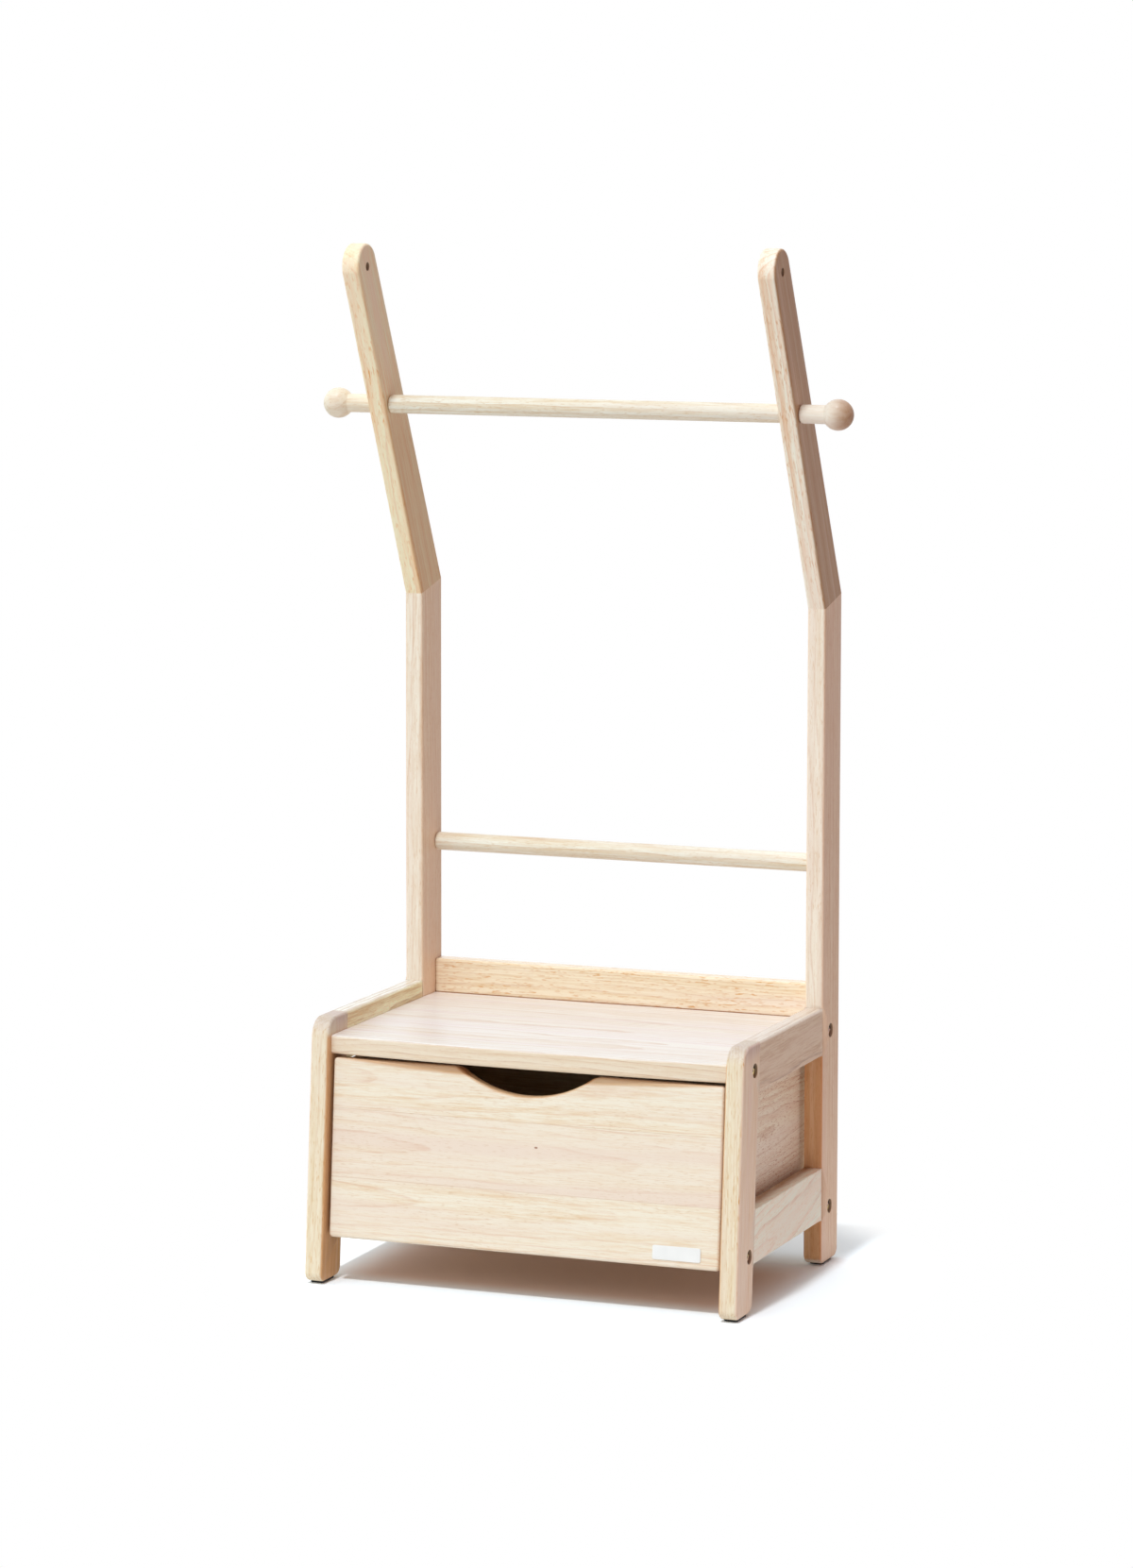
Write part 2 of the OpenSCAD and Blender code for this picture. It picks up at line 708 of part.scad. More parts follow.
module box_front() {
    color(box_wood) difference() {
        on_front() intersection() {
            translate([0, front_h / 2, -front_t / 2]) rotate([90, 0, 0]) linear_extrude(front_h, center = true)
                round_rect(front_w, front_t, edge_r);
            translate([0, front_h / 2, -front_t / 2]) rotate([90, 0, 90]) linear_extrude(front_w, center = true)
                round_rect(front_h, front_t, edge_r);
        }
        on_front() translate([0, 0, -front_t - past]) linear_extrude(front_t + 2 * past) scoop_outline();
        both_sides() box_pins(box_dowel_d + 2 * fit_gap, past / 2);
        bottom_panel(fit_gap);
    }
}

module box_side() {
    color(box_wood) difference() {
        translate([box_x - side_t, front_plane_y, box_z])
            cube([side_t, box_rear_y - front_plane_y, side_h]);
        translate([0, front_back_y(box_z), box_z]) rotate([-leg_lean, 0, 0])
            translate([0, -far, -far]) cube([far, far, 2 * far]);
        box_pins(box_dowel_d + 2 * fit_gap, past / 2);
        bottom_panel(fit_gap);
    }
}

module box_back() {
    half = box_x - side_t;
    color(box_wood) difference() {
        translate([-half, box_rear_y - side_t, box_z]) cube([2 * half, side_t, side_h]);
        both_sides() box_pins(box_dowel_d + 2 * fit_gap, past / 2);
        bottom_panel(fit_gap);
    }
}

module box_bottom() {
    color(pale_wood) bottom_panel(0);
}

module box_dowels() {
    color(dowel_wood) both_sides() box_pins(box_dowel_d, 0);
}

scale_side(-1) front_leg();  // front_leg_left
front_leg();  // front_leg_right
scale_side(-1) rear_post();  // rear_post_left
rear_post();  // rear_post_right
scale_side(-1) post_arm();  // post_arm_left
post_arm();  // post_arm_right
scale_side(-1) top_side_rail();  // top_side_rail_left
top_side_rail();  // top_side_rail_right
scale_side(-1) lower_side_rail();  // lower_side_rail_left
lower_side_rail();  // lower_side_rail_right
hanging_rod();
scale_side(-1) rod_knob();  // rod_knob_left
rod_knob();  // rod_knob_right
knob_studs();
lower_bar();
back_rail();
bench_top();
front_stretcher();
rear_stretcher();
scale_side(-1) runner();  // runner_left
runner();  // runner_right
runner_screws();
box_stops();
side_bolts();
barrel_nuts();
frame_dowels();
cross_dowels();
foot_pads();
box_front();
scale_side(-1) box_side();  // box_side_left
box_side();  // box_side_right
box_back();
box_bottom();
box_dowels();
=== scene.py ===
"""Looks of a child's clothes rack in pale, clear-lacquered wood.

Boards, rods, knobs, bolts and pads are surfaces worked out here from the same sizes as the solids.
All sizes are millimetres until a mesh is made, and +Z is up; the front faces -Y.
"""
import math

import bmesh
import bpy
import numpy as np
from mathutils import Matrix, Vector
from mathutils.geometry import delaunay_2d_cdt


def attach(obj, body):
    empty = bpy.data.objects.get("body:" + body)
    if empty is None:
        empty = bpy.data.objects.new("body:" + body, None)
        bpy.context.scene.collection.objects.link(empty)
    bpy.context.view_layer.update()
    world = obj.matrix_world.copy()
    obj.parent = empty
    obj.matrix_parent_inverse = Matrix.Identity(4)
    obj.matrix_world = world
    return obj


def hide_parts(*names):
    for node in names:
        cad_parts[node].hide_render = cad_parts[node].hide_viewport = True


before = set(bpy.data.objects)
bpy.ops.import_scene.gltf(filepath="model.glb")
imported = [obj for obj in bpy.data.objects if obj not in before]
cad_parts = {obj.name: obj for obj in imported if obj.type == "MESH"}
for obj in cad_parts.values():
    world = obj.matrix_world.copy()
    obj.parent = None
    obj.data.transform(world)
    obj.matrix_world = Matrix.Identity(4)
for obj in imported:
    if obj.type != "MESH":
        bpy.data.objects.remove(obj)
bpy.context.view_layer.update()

MM = 0.001

# Sizes shared with the solids
# Side frames: boards, feet, legs, rails, posts and arms
BOARD_T = 20.0
INNER_X = 223.0
OUTER_X = 243.0
MID_X = (INNER_X + OUTER_X) / 2
FRONT_Y = -166.0
REAR_Y = 166.0
POST_Y = 109.0
POST_W = REAR_Y - POST_Y
POST_MID = (POST_Y + REAR_Y) / 2
PAD_T = 2.5
FOOT_R = 10.0
TOE_Z = PAD_T + FOOT_R
LEAN = math.radians(4.5)
SLOPE = math.tan(LEAN)
LEG_W = 50.0
LEG_TOP_R = 21.0
SIDE_TOP = 282.7
TOP_RAIL_LOW = 231.5
LOW_RAIL = (51.4, 108.4)
ARM_LEAN = math.radians(26.15)
BEND_Z = 713.0
BEND_REAR_Z = BEND_Z + POST_W * math.tan(ARM_LEAN / 2)
TIP = (-37.2295, 1075.5)
TIP_R = 24.5
TIP_HOLE_R = 4.5
# Hanging rod, lower bar and knobs, whose axes are (y, z)
ROD_R = 10.0
ROD = (23.777, 926.0)
BAR = (153.0, 433.3)
SHOULDER_R = 3.0
BALL_R = 16.5
BALL_X = OUTER_X + 41.0
FILLET_R = 2.5
# Bench top, back rail and stretchers
BENCH_LOW = 244.6
BENCH_TOP = 264.6
BENCH_FRONT = -138.19
BENCH_BOW = 9.0
BENCH_REAR_EDGE = 0.9
BACK_RAIL_Y = 146.0
BACK_RAIL_TOP = 302.0
STRETCHER_Z = (52.0, 72.0)
STRETCHER_W = 45.0
STRETCHER_FRONT = -135.497
# Box: its front leans with the legs, and the scoop is cut in the front's upper edge
FRONT_PLANE_Y = -154.498
FRONT_Z = 50.7
FRONT_W = 439.0
FRONT_H = 191.19
FRONT_T = 16.0
FRONT_CORNER_R = 4.0
SCOOP_R = 128.0
SCOOP_D = 26.0
SCOOP_SHOULDER_R = 22.0
BOX_X = 217.0
BOX_T = 12.0
BOX_Z = (72.3, 234.6)
BOX_REAR = 130.0
PANEL_Z = (80.3, 85.3)
# Bolts, from the seat of their heads, and the barrel nuts' holes
BOLT_SEAT = OUTER_X - 6.0
BOLT_Z = (254.6, 62.0)
BOLT_BACK = 37.0
BOLT_LEN = 54.0
HEAD_R = 6.5
HEAD_T = 3.5
SHANK_R = 3.0
SOCKET_R = 2.3
COUNTERBORE_R = 7.5
BARREL_X = INNER_X - 35.0
BARREL_HOLE_R = 5.05
BARREL_HOLE_DEPTH = 17.0

# Rounding of the edges: along free edges, round the windows, and on the box's own boards
EDGE = 3.0
SOFT = 1.5
WINDOW = 1.2
# Run along an edge in which its rounding fades to nothing at a joint, and steps of a rounding
FADE = 4.0
ROUND_STEPS = 5
# Chamfer of drilled holes, and points round a hole, round a turned piece or the floor, and round a bolt
BEVEL = 0.5
HOLE_STEPS = 32
TURN_STEPS = 64
BOLT_STEPS = 48
# Sine of the turn below which an outline's corner counts as straight
NEARLY_STRAIGHT = 0.02
# Edges between faces that meet at a larger angle than this many degrees stay crisp
CRISP = 35.0
# Depth of the painted light and shade on one face of the wood
SKIN = 2.4

# The bowed shade along the box front's upper edge: its depth, and half its width
SHADE_D = 7.5
SHADE_HALF = 195.0
# Bare plate, measured on the box front from its lower middle; pads under the feet
PLATE_X = 173.0
PLATE_HALF = 26.5
PLATE_Z = (7.5, 22.4)
PLATE_T = 0.8
PLATE_CORNER_R = 2.0
PLATE_EDGE = 0.3
PLATE_GAP = 0.02
PAD_HALF = (7.5, 15.0)
PAD_CORNER_R = 3.0
PAD_EDGE = 0.8


def leg_front(z):
    """Y of a leg's front edge at height z: a line that leans back by LEAN and touches the toe's arc."""
    return FRONT_Y - FOOT_R * (1 / math.cos(LEAN) - 1) + (z - TOE_Z) * SLOPE


def leg_rear(z):
    """Y of a leg's rear edge at height z, LEG_W behind the front edge as measured square to the leg."""
    return leg_front(z) + LEG_W / math.cos(LEAN)


def front_back(z):
    """Y of the box front's rear face at height z."""
    return FRONT_PLANE_Y + (z - FRONT_Z) * SLOPE + FRONT_T / math.cos(LEAN)


# Outlines

def full_turn(steps):
    """Angles of one full turn in even steps, in radians."""
    return np.linspace(0, 2 * math.pi, steps + 1)[:-1]


def at(u, v, before, after=None):
    """One outline point with the edge rounding before it and after it."""
    return np.array([[u, v, before, before if after is None else after]], float)


def arc(centre, radius, start, end, first, last=None, steps=10):
    """Points of a circle between two angles in degrees: centre + radius (cos t, sin t).

    The edge rounding goes evenly from first to last.
    """
    turn = np.radians(np.linspace(start, end, steps + 1))
    edge = np.linspace(first, first if last is None else last, steps + 1)
    u = centre[0] + radius * np.cos(turn)
    v = centre[1] + radius * np.sin(turn)
    return np.stack([u, v, edge, edge], axis=1)


def outline(*parts):
    """One closed outline, counterclockwise, of points and arcs in turn."""
    return np.concatenate(parts)


def corner_vectors(points):
    """For each outline point, the inward step that moves its two edges in by their own roundings.

    The step x solves n1.x = -r1 and n2.x = -r2, where n1 and n2 are the outward normals of the edges
    before and after it. Where these are nearly in line, it is the mean rounding along the mean normal.
    """
    place = points[:, :2]
    ahead = np.roll(place, -1, axis=0) - place
    ahead /= np.linalg.norm(ahead, axis=1)[:, None]
    out_after = np.stack([ahead[:, 1], -ahead[:, 0]], axis=1)
    out_before = np.roll(out_after, 1, axis=0)
    before, after = points[:, 2], points[:, 3]
    turn = out_before[:, 0] * out_after[:, 1] - out_before[:, 1] * out_after[:, 0]
    straight = np.abs(turn) < NEARLY_STRAIGHT
    safe = np.where(straight, 1.0, turn)
    x = (after * out_before[:, 1] - before * out_after[:, 1]) / safe
    y = (before * out_after[:, 0] - after * out_before[:, 0]) / safe
    middle = out_before + out_after
    middle /= np.linalg.norm(middle, axis=1)[:, None]
    flat = -middle * ((before + after) / 2)[:, None]
    return np.where(straight[:, None], flat, np.stack([x, y], axis=1))


# Meshes

def make_mesh(name, points, faces, body, material, replaces=()):
    """Puts points in mm and faces in a mesh, merges doubles, turns faces outwards and shades it smooth."""
    mesh = bpy.data.meshes.new(name)
    mesh.from_pydata((np.asarray(points) * MM).tolist(), [], faces)
    work = bmesh.new()
    work.from_mesh(mesh)
    bmesh.ops.remove_doubles(work, verts=work.verts, dist=1e-6)
    bmesh.ops.dissolve_degenerate(work, edges=work.edges, dist=1e-7)
    bmesh.ops.recalc_face_normals(work, faces=work.faces)
    for face in work.faces:
        face.smooth = True
    limit = math.radians(CRISP)
    for edge in work.edges:
        edge.smooth = len(edge.link_faces) != 2 or edge.calc_face_angle(0.0) < limit
    work.to_mesh(mesh)
    work.free()
    piece = bpy.data.objects.new(name, mesh)
    bpy.context.scene.collection.objects.link(piece)
    mesh.materials.append(material)
    normals = piece.modifiers.new("flat_faces_stay_flat", "WEIGHTED_NORMAL")
    normals.keep_sharp = True
    normals.weight = 100
    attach(piece, body)
    if replaces:
        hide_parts(*replaces)
    return piece


def grid_faces(rows, columns, start=0):
    """Quads between rows of points, each row a closed ring; start is the first point's number."""
    row = np.arange(rows - 1)[:, None] * columns
    column = np.arange(columns)[None, :]
    after = (column + 1) % columns
    quads = np.stack([row + column, row + after, row + columns + after, row + columns + column], axis=-1)
    return (quads.reshape(-1, 4) + start).tolist()


def cap_faces(loops, start_ids, circles):
    """Triangles that fill the first loop and leave out the circles (centre, radius), by point number.

    They are the Delaunay triangles of all the loops' points, without those whose middle is in a circle.
    """
    flat = np.concatenate(loops)
    ids = np.concatenate([s + np.arange(len(loop)) for s, loop in zip(start_ids, loops)])
    edges, at_point = [], 0
    for loop in loops:
        n = np.arange(len(loop))
        edges += (np.stack([n, (n + 1) % len(loop)], axis=1) + at_point).tolist()
        at_point += len(loop)
    made = delaunay_2d_cdt([Vector(p) for p in flat], edges, [], 1, 1e-7)
    points, triangles, origins = made[0], made[2], made[3]
    points = np.array([tuple(p) for p in points])
    triangles = np.array(triangles)
    middles = points[triangles].mean(axis=1)
    keep = np.ones(len(triangles), bool)
    for centre, radius in circles:
        keep &= np.linalg.norm(middles - centre, axis=1) > radius * 0.999
    number = np.array([ids[o[0]] for o in origins])
    return number[triangles[keep]].tolist()


def drilled(radius, depth, thickness, side):
    """Rows (level, radius) down a round hole with a small chamfer: right through, or to a flat floor."""
    top = thickness / 2
    if side == 0:
        return [(-top, radius + BEVEL), (BEVEL - top, radius), (top - BEVEL, radius), (top, radius + BEVEL)]
    return [(side * top, radius + BEVEL), (side * (top - BEVEL), radius), (side * (top - depth), radius)]


def board(name, shape, thickness, place, body, material, replaces=(), holes=(), pockets=()):
    """A flat board: its outline carried over a quarter-round profile on both faces, with holes and pockets.

    At angle a from 0 to 90 degrees of the quarter-round, a point moves in by r (1 - cos a) and lies
    t/2 - r (1 - sin a) from the board's middle. place is (origin, u, v, w); holes are (u, v, radius) and
    pockets (u, v, radius, depth, side) with side 1 for the face towards w and -1 for the other.
    """
    origin, u, v, w = (np.array(p, float) for p in place)
    inward = corner_vectors(shape)
    round_r = np.maximum(shape[:, 2], shape[:, 3])
    angle = np.linspace(0, math.pi / 2, ROUND_STEPS + 1)
    step = np.concatenate([(1 - np.cos(angle))[::-1], 1 - np.cos(angle)])
    drop = np.concatenate([(1 - np.sin(angle))[::-1], 1 - np.sin(angle)])
    side = np.concatenate([-np.ones(len(angle)), np.ones(len(angle))])
    flat = shape[None, :, :2] + inward[None] * step[:, None, None]
    high = side[:, None] * (thickness / 2 - round_r[None] * drop[:, None])
    count = len(shape)
    rim = np.concatenate([flat, high[..., None]], axis=2)
    points = [rim.reshape(-1, 3)]
    faces = grid_faces(len(step), count)
    total = len(step) * count
    turn = full_turn(HOLE_STEPS)
    circle = np.stack([np.cos(turn), np.sin(turn)], axis=1)
    loops = {-1: [flat[0]], 1: [flat[-1]]}
    starts = {-1: [0], 1: [total - count]}
    cut = {-1: [], 1: []}
    for hu, hv, radius, depth, face_side in [(*h, thickness, 0) for h in holes] + list(pockets):
        levels = drilled(radius, depth, thickness, face_side)
        rings = [np.column_stack([circle * r + (hu, hv), np.full(HOLE_STEPS, level)]) for level, r in levels]
        points += rings
        faces += grid_faces(len(levels), HOLE_STEPS, total)
        last_ring = total + (len(levels) - 1) * HOLE_STEPS
        for one in ((-1, 1) if face_side == 0 else (face_side,)):
            loops[one].append(circle * (radius + BEVEL) + (hu, hv))
            starts[one].append(last_ring if face_side == 0 and one == 1 else total)
            cut[one].append(((hu, hv), radius + BEVEL))
        if face_side != 0:
            faces.append((last_ring + np.arange(HOLE_STEPS)).tolist())
        total += len(levels) * HOLE_STEPS
    for one in (-1, 1):
        faces += cap_faces(loops[one], starts[one], cut[one])
    local = np.concatenate(points)
    world = origin + local[:, :1] * u + local[:, 1:2] * v + local[:, 2:] * w
    return make_mesh(name, world, faces, body, material, replaces)


def turned(name, profile, axis_at, body, material, replaces, mirror=1):
    """Turned piece along X: each (x, r) of the profile becomes the circle (x, y + r cos t, z + r sin t)."""
    turn = full_turn(TURN_STEPS)
    x = np.repeat(profile[:, :1] * mirror, TURN_STEPS, axis=1)
    y = axis_at[0] + profile[:, 1:] * np.cos(turn)
    z = axis_at[1] + profile[:, 1:] * np.sin(turn)
    points = np.stack([x, y, z], axis=2).reshape(-1, 3)
    return make_mesh(name, points, grid_faces(len(profile), TURN_STEPS), body, material, replaces)


# Shader maths

class Value:
    """A number socket that takes arithmetic; each operation adds one Math node."""

    def __init__(self, shader, socket):
        self.shader, self.socket = shader, socket

    def math(self, operation, *others, first=None):
        values = [self if first is None else first, *others]
        made = self.shader.node("ShaderNodeMath", {"operation": operation}, dict(enumerate(values)))
        return Value(self.shader, made.outputs[0])

    def __add__(self, other):
        return self.math("ADD", other)

    def __radd__(self, other):
        return self.math("ADD", other)

    def __sub__(self, other):
        return self.math("SUBTRACT", other)

    def __rsub__(self, other):
        return self.math("SUBTRACT", self, first=other)

    def __mul__(self, other):
        return self.math("MULTIPLY", other)

    def __rmul__(self, other):
        return self.math("MULTIPLY", other)

    def __truediv__(self, other):
        return self.math("DIVIDE", other)

    def __pow__(self, other):
        return self.math("POWER", other)

    def smooth(self, low, high):
        """0 below low, 1 above high, and a smooth rise between them."""
        made = self.shader.node("ShaderNodeMapRange", {"interpolation_type": "SMOOTHSTEP"},
                                {0: self, 1: low, 2: high, 3: 0.0, 4: 1.0})
        return Value(self.shader, made.outputs[0])


class Shader:
    """The nodes of a material or a world, and the few calls that build them."""

    def __init__(self, owner):
        self.owner = owner
        owner.use_nodes = True
        self.tree = owner.node_tree
        self.tree.nodes.clear()
        self.coordinates = self.node("ShaderNodeTexCoord")
        self.place = self.coordinates.outputs["Object"]

    def node(self, kind, settings=None, sockets=None):
        """Adds a node, sets its settings first and then the values or links of its sockets."""
        made = self.tree.nodes.new(kind)
        for key, setting in (settings or {}).items():
            setattr(made, key, setting)
        for key, value in (sockets or {}).items():
            if isinstance(value, Value):
                value = value.socket
            if isinstance(value, bpy.types.NodeSocket):
                self.tree.links.new(value, made.inputs[key])
            else:
                made.inputs[key].default_value = value
        return made

    def along(self, direction, offset=0.0):
        """Distance in mm along a direction, less an offset."""
        scaled = tuple(float(d) / MM for d in direction)
        dot = self.node("ShaderNodeVectorMath", {"operation": "DOT_PRODUCT"}, {0: self.place, 1: scaled})
        return Value(self, dot.outputs["Value"]) - float(offset)

    def noise(self, where, scale, detail, roughness=0.5):
        made = self.node("ShaderNodeTexNoise", None, {
            "Vector": where, "Scale": scale, "Detail": detail, "Roughness": roughness})
        return Value(self, made.outputs[0])

    def noise_at(self, x, y, z, detail, roughness=0.5):
        """Noise at a point given by three numbers or values."""
        where = self.node("ShaderNodeCombineXYZ", None, {0: x, 1: y, 2: z}).outputs[0]
        return self.noise(where, 1.0, detail, roughness)

    def random(self, where):
        """One random number from 0 to 1 for each value of where."""
        made = self.node("ShaderNodeTexWhiteNoise", {"noise_dimensions": "1D"}, {"W": where})
        return Value(self, made.outputs["Value"])

    def distance(self, x, y):
        """Square root of x squared plus y squared."""
        return (x * x + y * y) ** 0.5

    def seen(self):
        """1 for what the camera sees, also in metal and through glass, and 0 for what only throws light."""
        path = self.node("ShaderNodeLightPath")
        direct = Value(self, path.outputs["Is Camera Ray"])
        mirrored = direct.math("MAXIMUM", path.outputs["Is Glossy Ray"])
        return mirrored.math("MAXIMUM", path.outputs["Is Transmission Ray"])

    def mix(self, factor, first, second, blend="MIX"):
        """Mixes two colours; a colour is a linear (r, g, b) or a socket."""
        first, second = ((*c, 1.0) if isinstance(c, tuple) else c for c in (first, second))
        made = self.node("ShaderNodeMix", {"data_type": "RGBA", "blend_type": blend},
                         {0: factor, 6: first, 7: second})
        return made.outputs[2]

    def bump(self, height, distance, strength):
        """Normal of a surface raised by height, where 1 stands for distance in mm."""
        return self.node("ShaderNodeBump", None, {
            "Height": height, "Distance": distance * MM, "Strength": strength}).outputs[0]

    def surface(self, sockets):
        """Ends the material with one Principled shader."""
        shader = self.node("ShaderNodeBsdfPrincipled", None, sockets)
        self.node("ShaderNodeOutputMaterial", None, {"Surface": shader.outputs[0]})
        return self.owner


def linear(red, green, blue):
    """Linear colour of an sRGB colour given in 0-255, by the sRGB standard's own curve."""
    c = np.array([red, green, blue]) / 255.0
    out = np.where(c <= 0.04045, c / 12.92, ((c + 0.055) / 1.055) ** 2.4)
    return tuple(float(x) for x in out)


# Finishes, whose colours are sRGB from 0 to 255

CREAM = (238, 222, 199)
TAN = (222, 194, 160)
PINK = (234, 211, 194)
PORE = (208, 160, 108)
LATE = (206, 158, 126)
GLUE_LINE = (190, 142, 104)
KNOT = (150, 92, 58)
# Painted shade on the walls of drilled holes
HOLE_SHADE = (112, 76, 52)
# Painted shade on the bolts' sockets and upper parts
BOLT_SHADE = (44, 34, 26)
# The most light that a piece of wood gives back, and how far the seeds shift its pattern
PALEST = 0.97
SEED_STEP = 137.0
STAVE_STEP = 900.0


def skin(way, offset, factor, depth=SKIN, top=0, fade=0):
    """Painted light and shade on one face for wood(): the layer from the plane way.p = offset to depth mm
    along way.

    It multiplies the colour by factor. With a height top, it fades out round that height over fade mm.
    """
    return way, offset, factor, depth, top, fade


def wood(name, grain, face, centre, pith, seed, pale=CREAM, deep=TAN, blush=PINK, pore=PORE, late=LATE,
         ring=5.0, ring_depth=0.5, lines=0.5, wobble=5.0, dive=0.03, streaks=0.55, pores=0.5, staves=None,
         rosy_band=None, rough=0.45, knot=None, shaded_holes=(), tint=(1.0, 1.0, 1.0), coat=0.05, polish=None,
         fine=0.6, coarse=1.0, speckled=None, skins=(), hollows=()):
    """Pale lacquered wood as a solid pattern, cut by every face of the piece.

    Growth rings lie round a pith line that sinks by dive mm in each mm of the grain, so they meet a face in
    pointed arches; each ring, ring mm wide, ends in a thin reddish line. Streaks, fibres and short pores
    run with the grain. centre is the board's middle and pith the ring centre's distance from it, across
    and through, in mm. staves are glued strips as (width, start, spread of tone), and rosy_band a pinker
    strip as (from, to, strength). tint multiplies every colour, and the lacquer is thicker above the height
    polish. coarse scales the pores, and beyond speckled mm from the middle line they are fuller. knot is a
    dark speck as (across, along, size). shaded_holes lists drilled holes as (y, z, radius) whose walls get
    painted shade, skins the faces with painted light and shade, and hollows the circles near whose rims the
    colour is multiplied, as (along, across, radius, fade outside it, factor).
    """
    def paint(colour):
        return tuple(min(PALEST, t * c) for t, c in zip(tint, linear(*colour)))

    s = Shader(bpy.data.materials.new(name))
    grain = np.array(grain, float) / np.linalg.norm(grain)
    face = np.array(face, float) / np.linalg.norm(face)
    across = np.cross(face, grain)
    centre = np.array(centre, float)
    # a runs along the grain, b across the board and c through it, in mm; the factors on them are per mm
    length = s.along(grain, centre @ grain)
    a = length + seed * SEED_STEP
    b = s.along(across, centre @ across)
    c = s.along(face, centre @ face)
    tone = None
    seam = None
    pith_b = pith[0]
    if staves:
        width, start, spread = staves
        strip = (b - start) / width
        index = strip.math("FLOOR")
        luck = s.random(index + seed * 3.7)
        tone = (s.random(index + seed * 5.1 + 40.0) - 0.5) * spread
        edge = (strip - index) * width
        seam = 1.0 - edge.math("MINIMUM", width - edge).smooth(0.05, 0.5)
        a = a + luck * STAVE_STEP
        pith_b = (luck - 0.5) * 2.0 * abs(pith[0]) + (index + 0.5) * width + start
    # Growth rings: the distance from the pith, made uneven, is cut into rings, each with a dark late end
    wave = s.noise_at(a * 0.0035 + seed, b * 0.014, c * 0.014, 2.0) - 0.5
    ripple = s.noise_at(a * 0.018, b * 0.07, c * 0.07 + seed, 2.0) - 0.5
    rb = b - pith_b
    rc = c - pith[1] + length * dive
    radius = s.distance(rb, rc) + wave * wobble * 4.0 + ripple * wobble * 0.6
    uneven = s.noise_at(radius * 0.03, seed, 0.0, 1.0)
    phase = (radius + uneven * ring * 5.0) / ring
    number = phase.math("FLOOR")
    share = phase - number
    shade = share.smooth(0.1, 0.88) * (1.0 - share.smooth(0.9, 1.0))
    patch = s.noise_at(a * 0.006, b * 0.03, c * 0.03 + seed, 2.0).smooth(0.35, 0.65)
    broken = s.noise_at(a * 0.02 + seed, b * 0.3, c * 0.3, 3.0, 0.65).smooth(0.36, 0.6)
    strong = s.random(number + seed * 7.0)
    line = share.smooth(0.74, 0.93) * (1.0 - share.smooth(0.95, 1.0)) * broken * (strong * 0.75 + 0.25)
    # Streaks, fibres, and the dashes and longer vessels of the open pores
    streak = s.noise_at(a * 0.0022 + seed, b * 0.11, c * 0.11, 4.0, 0.6).smooth(0.25, 0.75)
    fibre = s.noise_at(a * 0.022, b * 0.8, c * 0.8 + seed, 4.0, 0.7)
    thread = s.noise_at(a * 0.028, b * 0.42, c * 0.42 + seed, 3.0, 0.65)
    fleck = 0.95 / coarse
    dash = s.noise_at(a * 0.14 / coarse, b * fleck, c * fleck - seed, 1.0).smooth(0.58, 0.70)
    vessel = s.noise_at(a * 0.05, b * fleck * 0.74 + seed, c * fleck * 0.74, 2.0, 0.7).smooth(0.60, 0.72)
    amount = shade * ring_depth * (0.35 + patch * 0.65) + streak * streaks + (fibre - 0.5) * 1.1 - 0.12
    amount = amount + (thread - 0.5) * fine * 3.0
    if tone is not None:
        amount = amount + tone
    colour = s.mix(amount.math("MINIMUM", 1.0).math("MAXIMUM", 0.0), paint(pale), paint(deep))
    rosy = s.noise_at(a * 0.0016, b * 0.035 + seed * 2.0, c * 0.035, 2.0).smooth(0.42, 0.66) * 0.6
    if rosy_band:
        low, high, extra = rosy_band
        rosy = rosy + b.smooth(low, low + 1.0) * (1.0 - b.smooth(high - 1.0, high)) * extra
    colour = s.mix(rosy.math("MINIMUM", 1.0), colour, paint(blush))
    colour = s.mix(line * lines, colour, paint(late))
    dots = (dash * 0.7 + vessel * 0.55) * (0.55 + patch * 0.6) * pores
    if speckled:
        dots = dots * (b.math("ABSOLUTE").smooth(speckled - 1.0, speckled + 0.5) * 0.75 + 0.25)
    colour = s.mix(dots.math("MINIMUM", 1.0), colour, paint(pore))
    if seam is not None:
        colour = s.mix(seam * 0.4, colour, linear(*GLUE_LINE))
    if knot:
        kb, ka, size = knot
        da = s.along(grain, ka) / (size * 1.9)
        db = s.along(across, kb) / size
        spot = 1.0 - (da * da + db * db).smooth(0.15, 1.0)
        colour = s.mix(spot * 0.85, colour, linear(*KNOT))
    # Painted light and shade on single faces
    for way, offset, factor, depth, top, fade in skins:
        layer = 1.0 - s.along(way, offset).smooth(0.3, depth)
        if top:
            layer = layer * (1.0 - s.along((0, 0, 1), top).smooth(-fade, fade))
        colour = s.mix(layer * (streak * 0.35 + 0.82), colour, factor, "MULTIPLY")
    for u, v, size, fade, factor in hollows:
        rim = 1.0 - (s.distance(length - u, b - v) - size).smooth(0.0, fade)
        colour = s.mix(rim, colour, factor, "MULTIPLY")
    # Painted shade on the walls of drilled holes
    for y, z, size in shaded_holes:
        wall = 1.0 - s.distance(s.along((0, 1, 0), y), s.along((0, 0, 1), z)).smooth(size, size + 0.4)
        colour = s.mix(wall * 0.7, colour, linear(*HOLE_SHADE))
    height = (fibre - 0.5) * 0.35 - dots
    if polish:
        coat = s.along((0, 0, 1), polish).smooth(0.0, 2.5) * 0.8 + coat
    return s.surface({
        "Base Color": colour,
        "Roughness": dots * 0.12 + fibre * 0.1 + (rough - 0.05),
        "Specular IOR Level": 0.25,
        "Normal": s.bump(height, 0.08, 0.55),
        "Coat Weight": coat,
        "Coat Roughness": 0.22,
    })


